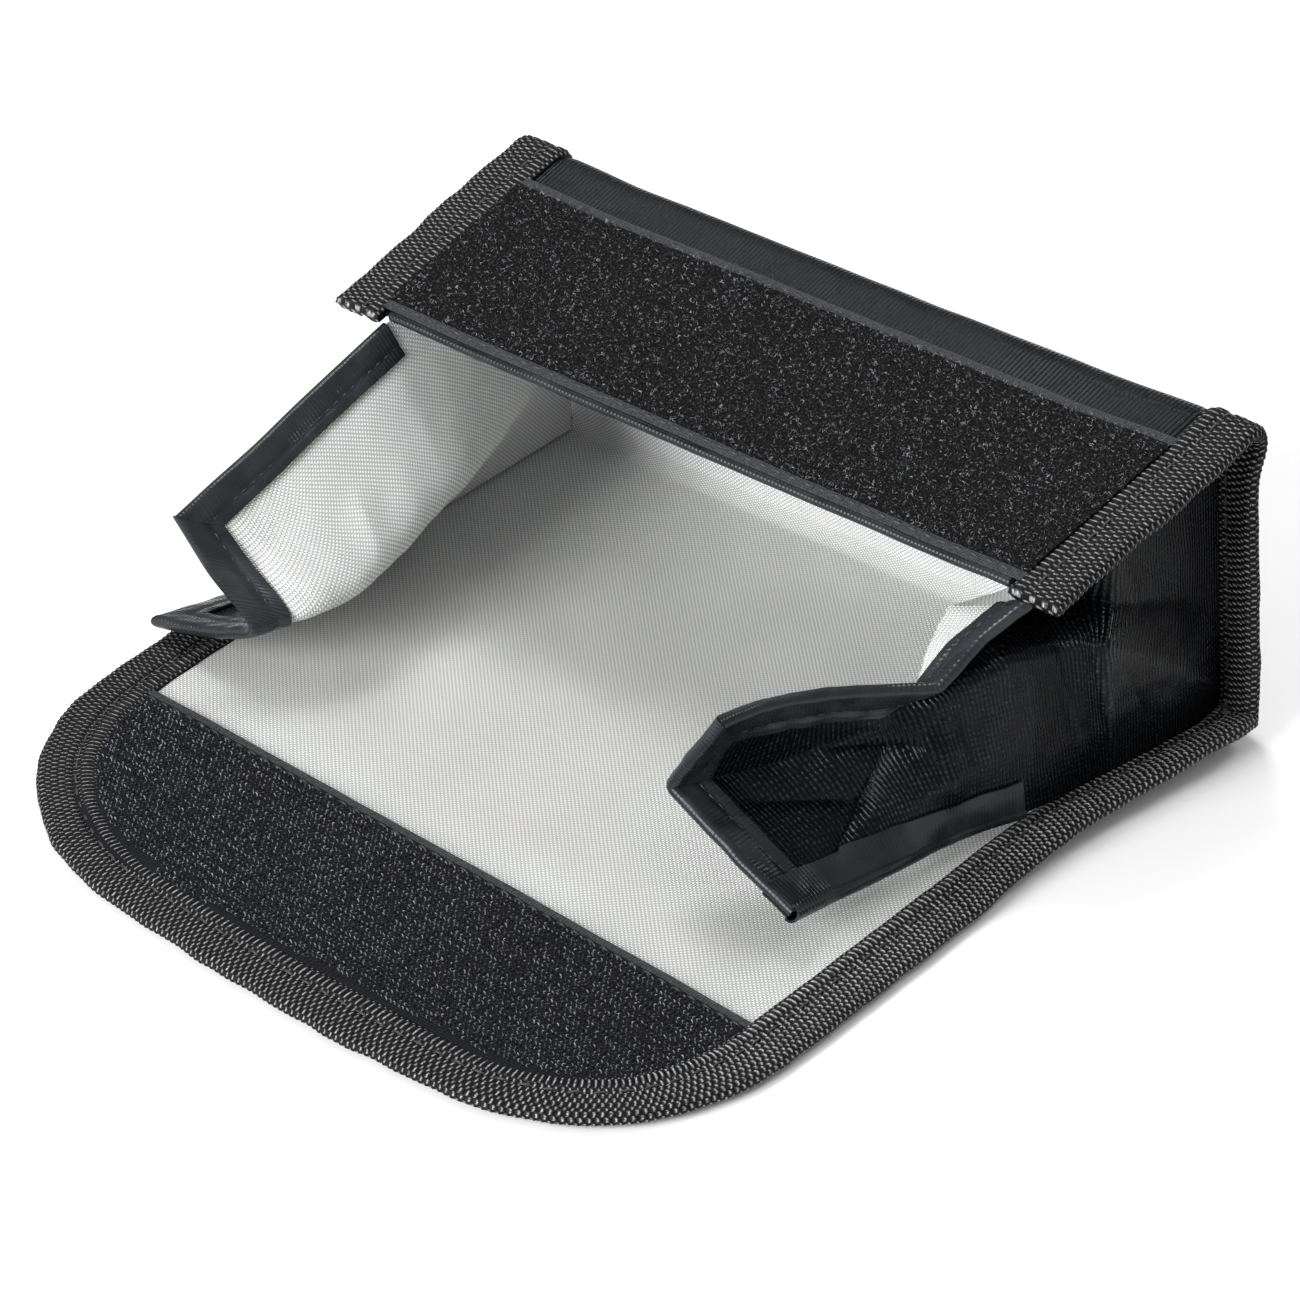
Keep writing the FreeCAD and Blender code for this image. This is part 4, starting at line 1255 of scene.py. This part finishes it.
def end_frames(distance):
    """The flap end's binding: down its left side, round both corners and up its right side."""
    turn = np.interp(distance, end_starts[1:5], [0, 0.5, 0.5, 1]) * math.pi
    outward = np.stack([-np.cos(turn), -np.sin(turn), 0 * turn], 1)
    radius = np.interp(distance, end_starts[2:4], end_radii)
    centres = [left_flap_radius - bag_x, bag_x - right_flap_radius]
    centre_x = np.interp(distance, end_starts[2:4], centres)
    down = np.interp(distance, end_starts[[0, 1, 4, 5]], [end_straights[0], 0, 0, end_straights[1]])
    centre = np.stack([centre_x, flap_y + radius + down, 0 * down], 1)
    out = radius - tape_width + read_table(distance, end_wander, 1) * mm
    return centre + outward * out[:, None], outward, np.tile([0, 0, 1], (len(distance), 1))


def end_gauge(distance):
    """The flap's tape holds only the two cloths and the hook strip."""
    return np.full_like(distance, flap_tape_gauge)


for side, outwards in outward_way.items():
    tape = lay_tape(f"{side}_side_webbing", side_frames(outwards), side_length, side_gauge, True)
    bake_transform(tape)
    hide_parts(f"{side}_body_binding", f"{side}_cover_binding")

end_tape = lay_tape("flap_end_webbing", end_frames, end_length, end_gauge, False)
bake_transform(end_tape)
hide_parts("tongue_binding")

# ---------------------------------------------------------------- the sewing
# All is lockstitched with a stout black thread. One row runs through the binding in a groove that
# it has pulled into the webbing, one along each edge of the loop strip and the hook strip's
# straight edge, and one finer row along the middle of each ear hem.

# The length and the pitch of the stitches in each kind of row.
binding_stitch = (3.3 * mm, 4.6 * mm)
strip_stitch = (2.6 * mm, 3.6 * mm)
hem_stitch = (2 * mm, 2.7 * mm)


def thread_finish():
    """Black bonded thread: a fine grain with a slight shine."""
    finish, tree, shader, measure = new_finish("black_thread", 0.4, 0.4)
    place = tree.nodes.new("ShaderNodeTexCoord").outputs["Object"]
    fuzz = speckle(tree, place, 2400, 2)
    colour(tree, shader, fuzz, (0.004, 0.004, 0.0045), (0.035, 0.035, 0.038))
    raise_surface(tree, shader, fuzz, 0.08 * mm)
    return finish


black_thread = thread_finish()
bpy.ops.object.select_all(action="DESELECT")
bpy.ops.mesh.primitive_uv_sphere_add(
    segments=8, ring_count=7, radius=0.5, rotation=(0, math.radians(90), 0)
)
stitch = bpy.context.object
stitch.name = "stitch_model"
bpy.ops.object.transform_apply(rotation=True)
bpy.ops.object.mode_set(mode="EDIT")
bpy.ops.mesh.select_all(action="SELECT")
bpy.ops.transform.resize(value=(1, 0.2, 0.16))
bpy.ops.object.mode_set(mode="OBJECT")
for corner in stitch.data.vertices:
    corner.co.z -= 0.35 * corner.co.x**2


def sew(name, points, ups, length, pitch, first=0.5):
    """A row of stitches along a line of points, each lying on the face that ups point out of."""
    run = lengths(points)
    middles = np.arange(pitch * first, run[-1] - pitch * 0.4, pitch)

    def read(line, at):
        return np.stack([np.interp(at, run, line[:, k]) for k in range(3)], 1)

    alongs = read(points, middles + pitch / 4) - read(points, middles - pitch / 4)
    places, faces = read(points, middles), read(ups, middles)
    sizes = length * chance.uniform(0.93, 1.05, len(middles))
    return copies(name, stitch, places, alongs, faces, sizes, black_thread)


def tape_rows(name, frames, length, gauge_at):
    """The sewing seen on both faces of a length of binding."""
    distance = np.linspace(0, length, 900)
    edge, outward, upward = frames(distance)
    line = edge + outward * seam_groove
    top = line + upward * (gauge_at(distance)[:, None] - 0.42 * mm)
    inner = sew(f"{name}_inside", top, upward, *binding_stitch)
    outer = sew(f"{name}_outside", line + upward * 0.4 * mm, -upward, *binding_stitch, first=1)
    return inner, outer


for side, outwards in outward_way.items():
    for row in tape_rows(f"{side}_side_sewing", side_frames(outwards), side_length, side_gauge):
        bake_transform(row)
        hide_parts(f"{side}_body_stitching", f"{side}_cover_stitching")
for row in tape_rows("flap_end_sewing", end_frames, end_length, end_gauge):
    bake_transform(row)
    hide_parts("tongue_stitching")

row_points, hem_row_points = 300, 200
across = np.linspace(-seam_x + 1.5 * mm, seam_x - 1.5 * mm, row_points)
for edge, run in (("mouth", loop_start + 1.3 * mm), ("rear", loop_end - 1.3 * mm)):
    line = on_strip(across, np.full(row_points, run), -0.66 * mm)
    row = sew(f"loop_strip_{edge}_sewing", line, np.tile(panel_up, (row_points, 1)), *strip_stitch)
    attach(row, "bag_body")
    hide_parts("loop_strip_stitching")
run = hook_run + 1.9 * mm + hook_skew * across
line = on_strip(across, run, hook_level(hook_top) + 0.55 * mm)
row = sew("hook_strip_sewing", line, np.tile([0, 0, 1.0], (row_points, 1)), *strip_stitch)
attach(row, "flap_tongue")
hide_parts("hook_strip_stitching")

for side in walls:
    share = np.linspace(0, 1, hem_row_points)
    start, end = mouth_run[side], wall_end[side]
    along = start + share * (end - hem_row - start)
    up_front = hem_row + share * (wall_height(side, end - hem_row) - 2 * hem_row)
    for face, offset in (("outer", 1.12 * mm), ("inner", -1.12 * mm)):
        rows = {
            "top": (along, np.full_like(along, -hem_row), 1),
            "foot": (along, np.full_like(along, hem_row), 0),
            "front": (np.full_like(along, end - hem_row), up_front, 0),
        }
        for edge, (run, rise, whole) in rows.items():
            line = on_wall(side, run, rise, offset, whole)
            out = line - on_wall(side, run, rise, 0, whole)
            row = sew(f"{side}_ear_{edge}_{face}_sewing", line, out, *hem_stitch)
            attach(row, f"{side}_ear")
            flatten_ear(row)

for model in (curl, hook, stitch):
    bpy.data.objects.remove(model)

# ---------------------------------------------------------------- floor, light and camera
# A wide pale floor and three soft lamps: a small one high on the left, a large one further off in
# front that lights the inside, and a weak one behind on the right. The camera looks down over the
# right front corner of the flap.

bpy.ops.object.select_all(action="DESELECT")
bpy.ops.mesh.primitive_plane_add(size=40, location=(0, 0, -0.6 * mm))
floor = bpy.context.object
floor.name = "floor"
floor_white = bpy.data.materials.new("floor_white")
floor_white.use_nodes = True
floor_shader = floor_white.node_tree.nodes["Principled BSDF"]
floor_shader.inputs["Base Color"].default_value = (0.95, 0.95, 0.95, 1)
floor_shader.inputs["Roughness"].default_value = 0.9
floor_shader.inputs["Specular IOR Level"].default_value = 0.1
floor.data.materials.append(floor_white)
floor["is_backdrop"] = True

world = bpy.data.worlds.new("studio")
bpy.context.scene.world = world
world.use_nodes = True
world.node_tree.nodes["Background"].inputs["Color"].default_value = (1, 1, 1, 1)
world.node_tree.nodes["Background"].inputs["Strength"].default_value = 0.5

lit_place = Vector((0, -0.04, 0.02))


def softbox(name, place, size, power):
    """A square lamp that faces the bag."""
    lamp = bpy.data.lights.new(name, "AREA")
    lamp.size = size
    lamp.energy = power
    holder = bpy.data.objects.new(name, lamp)
    bpy.context.scene.collection.objects.link(holder)
    holder.location = place
    holder.rotation_euler = (lit_place - holder.location).to_track_quat("-Z", "Y").to_euler()


softbox("key", (-0.45, 0.3, 1.05), 0.4, 7)
softbox("front", (-0.25, -1.15, 0.48), 0.7, 25)
softbox("back", (0.35, 0.9, 0.7), 0.25, 2.5)

camera = bpy.data.objects.new("camera", bpy.data.cameras.new("camera"))
bpy.context.scene.collection.objects.link(camera)
camera.location = (0.4778, -0.6177, 0.5192)
camera.rotation_euler = (math.radians(55.982), 0, math.radians(39.704))
camera.data.lens = 126.2
camera.data.sensor_width = 36
bpy.context.scene.camera = camera
bpy.context.scene.view_settings.view_transform = "Standard"

low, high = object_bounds()
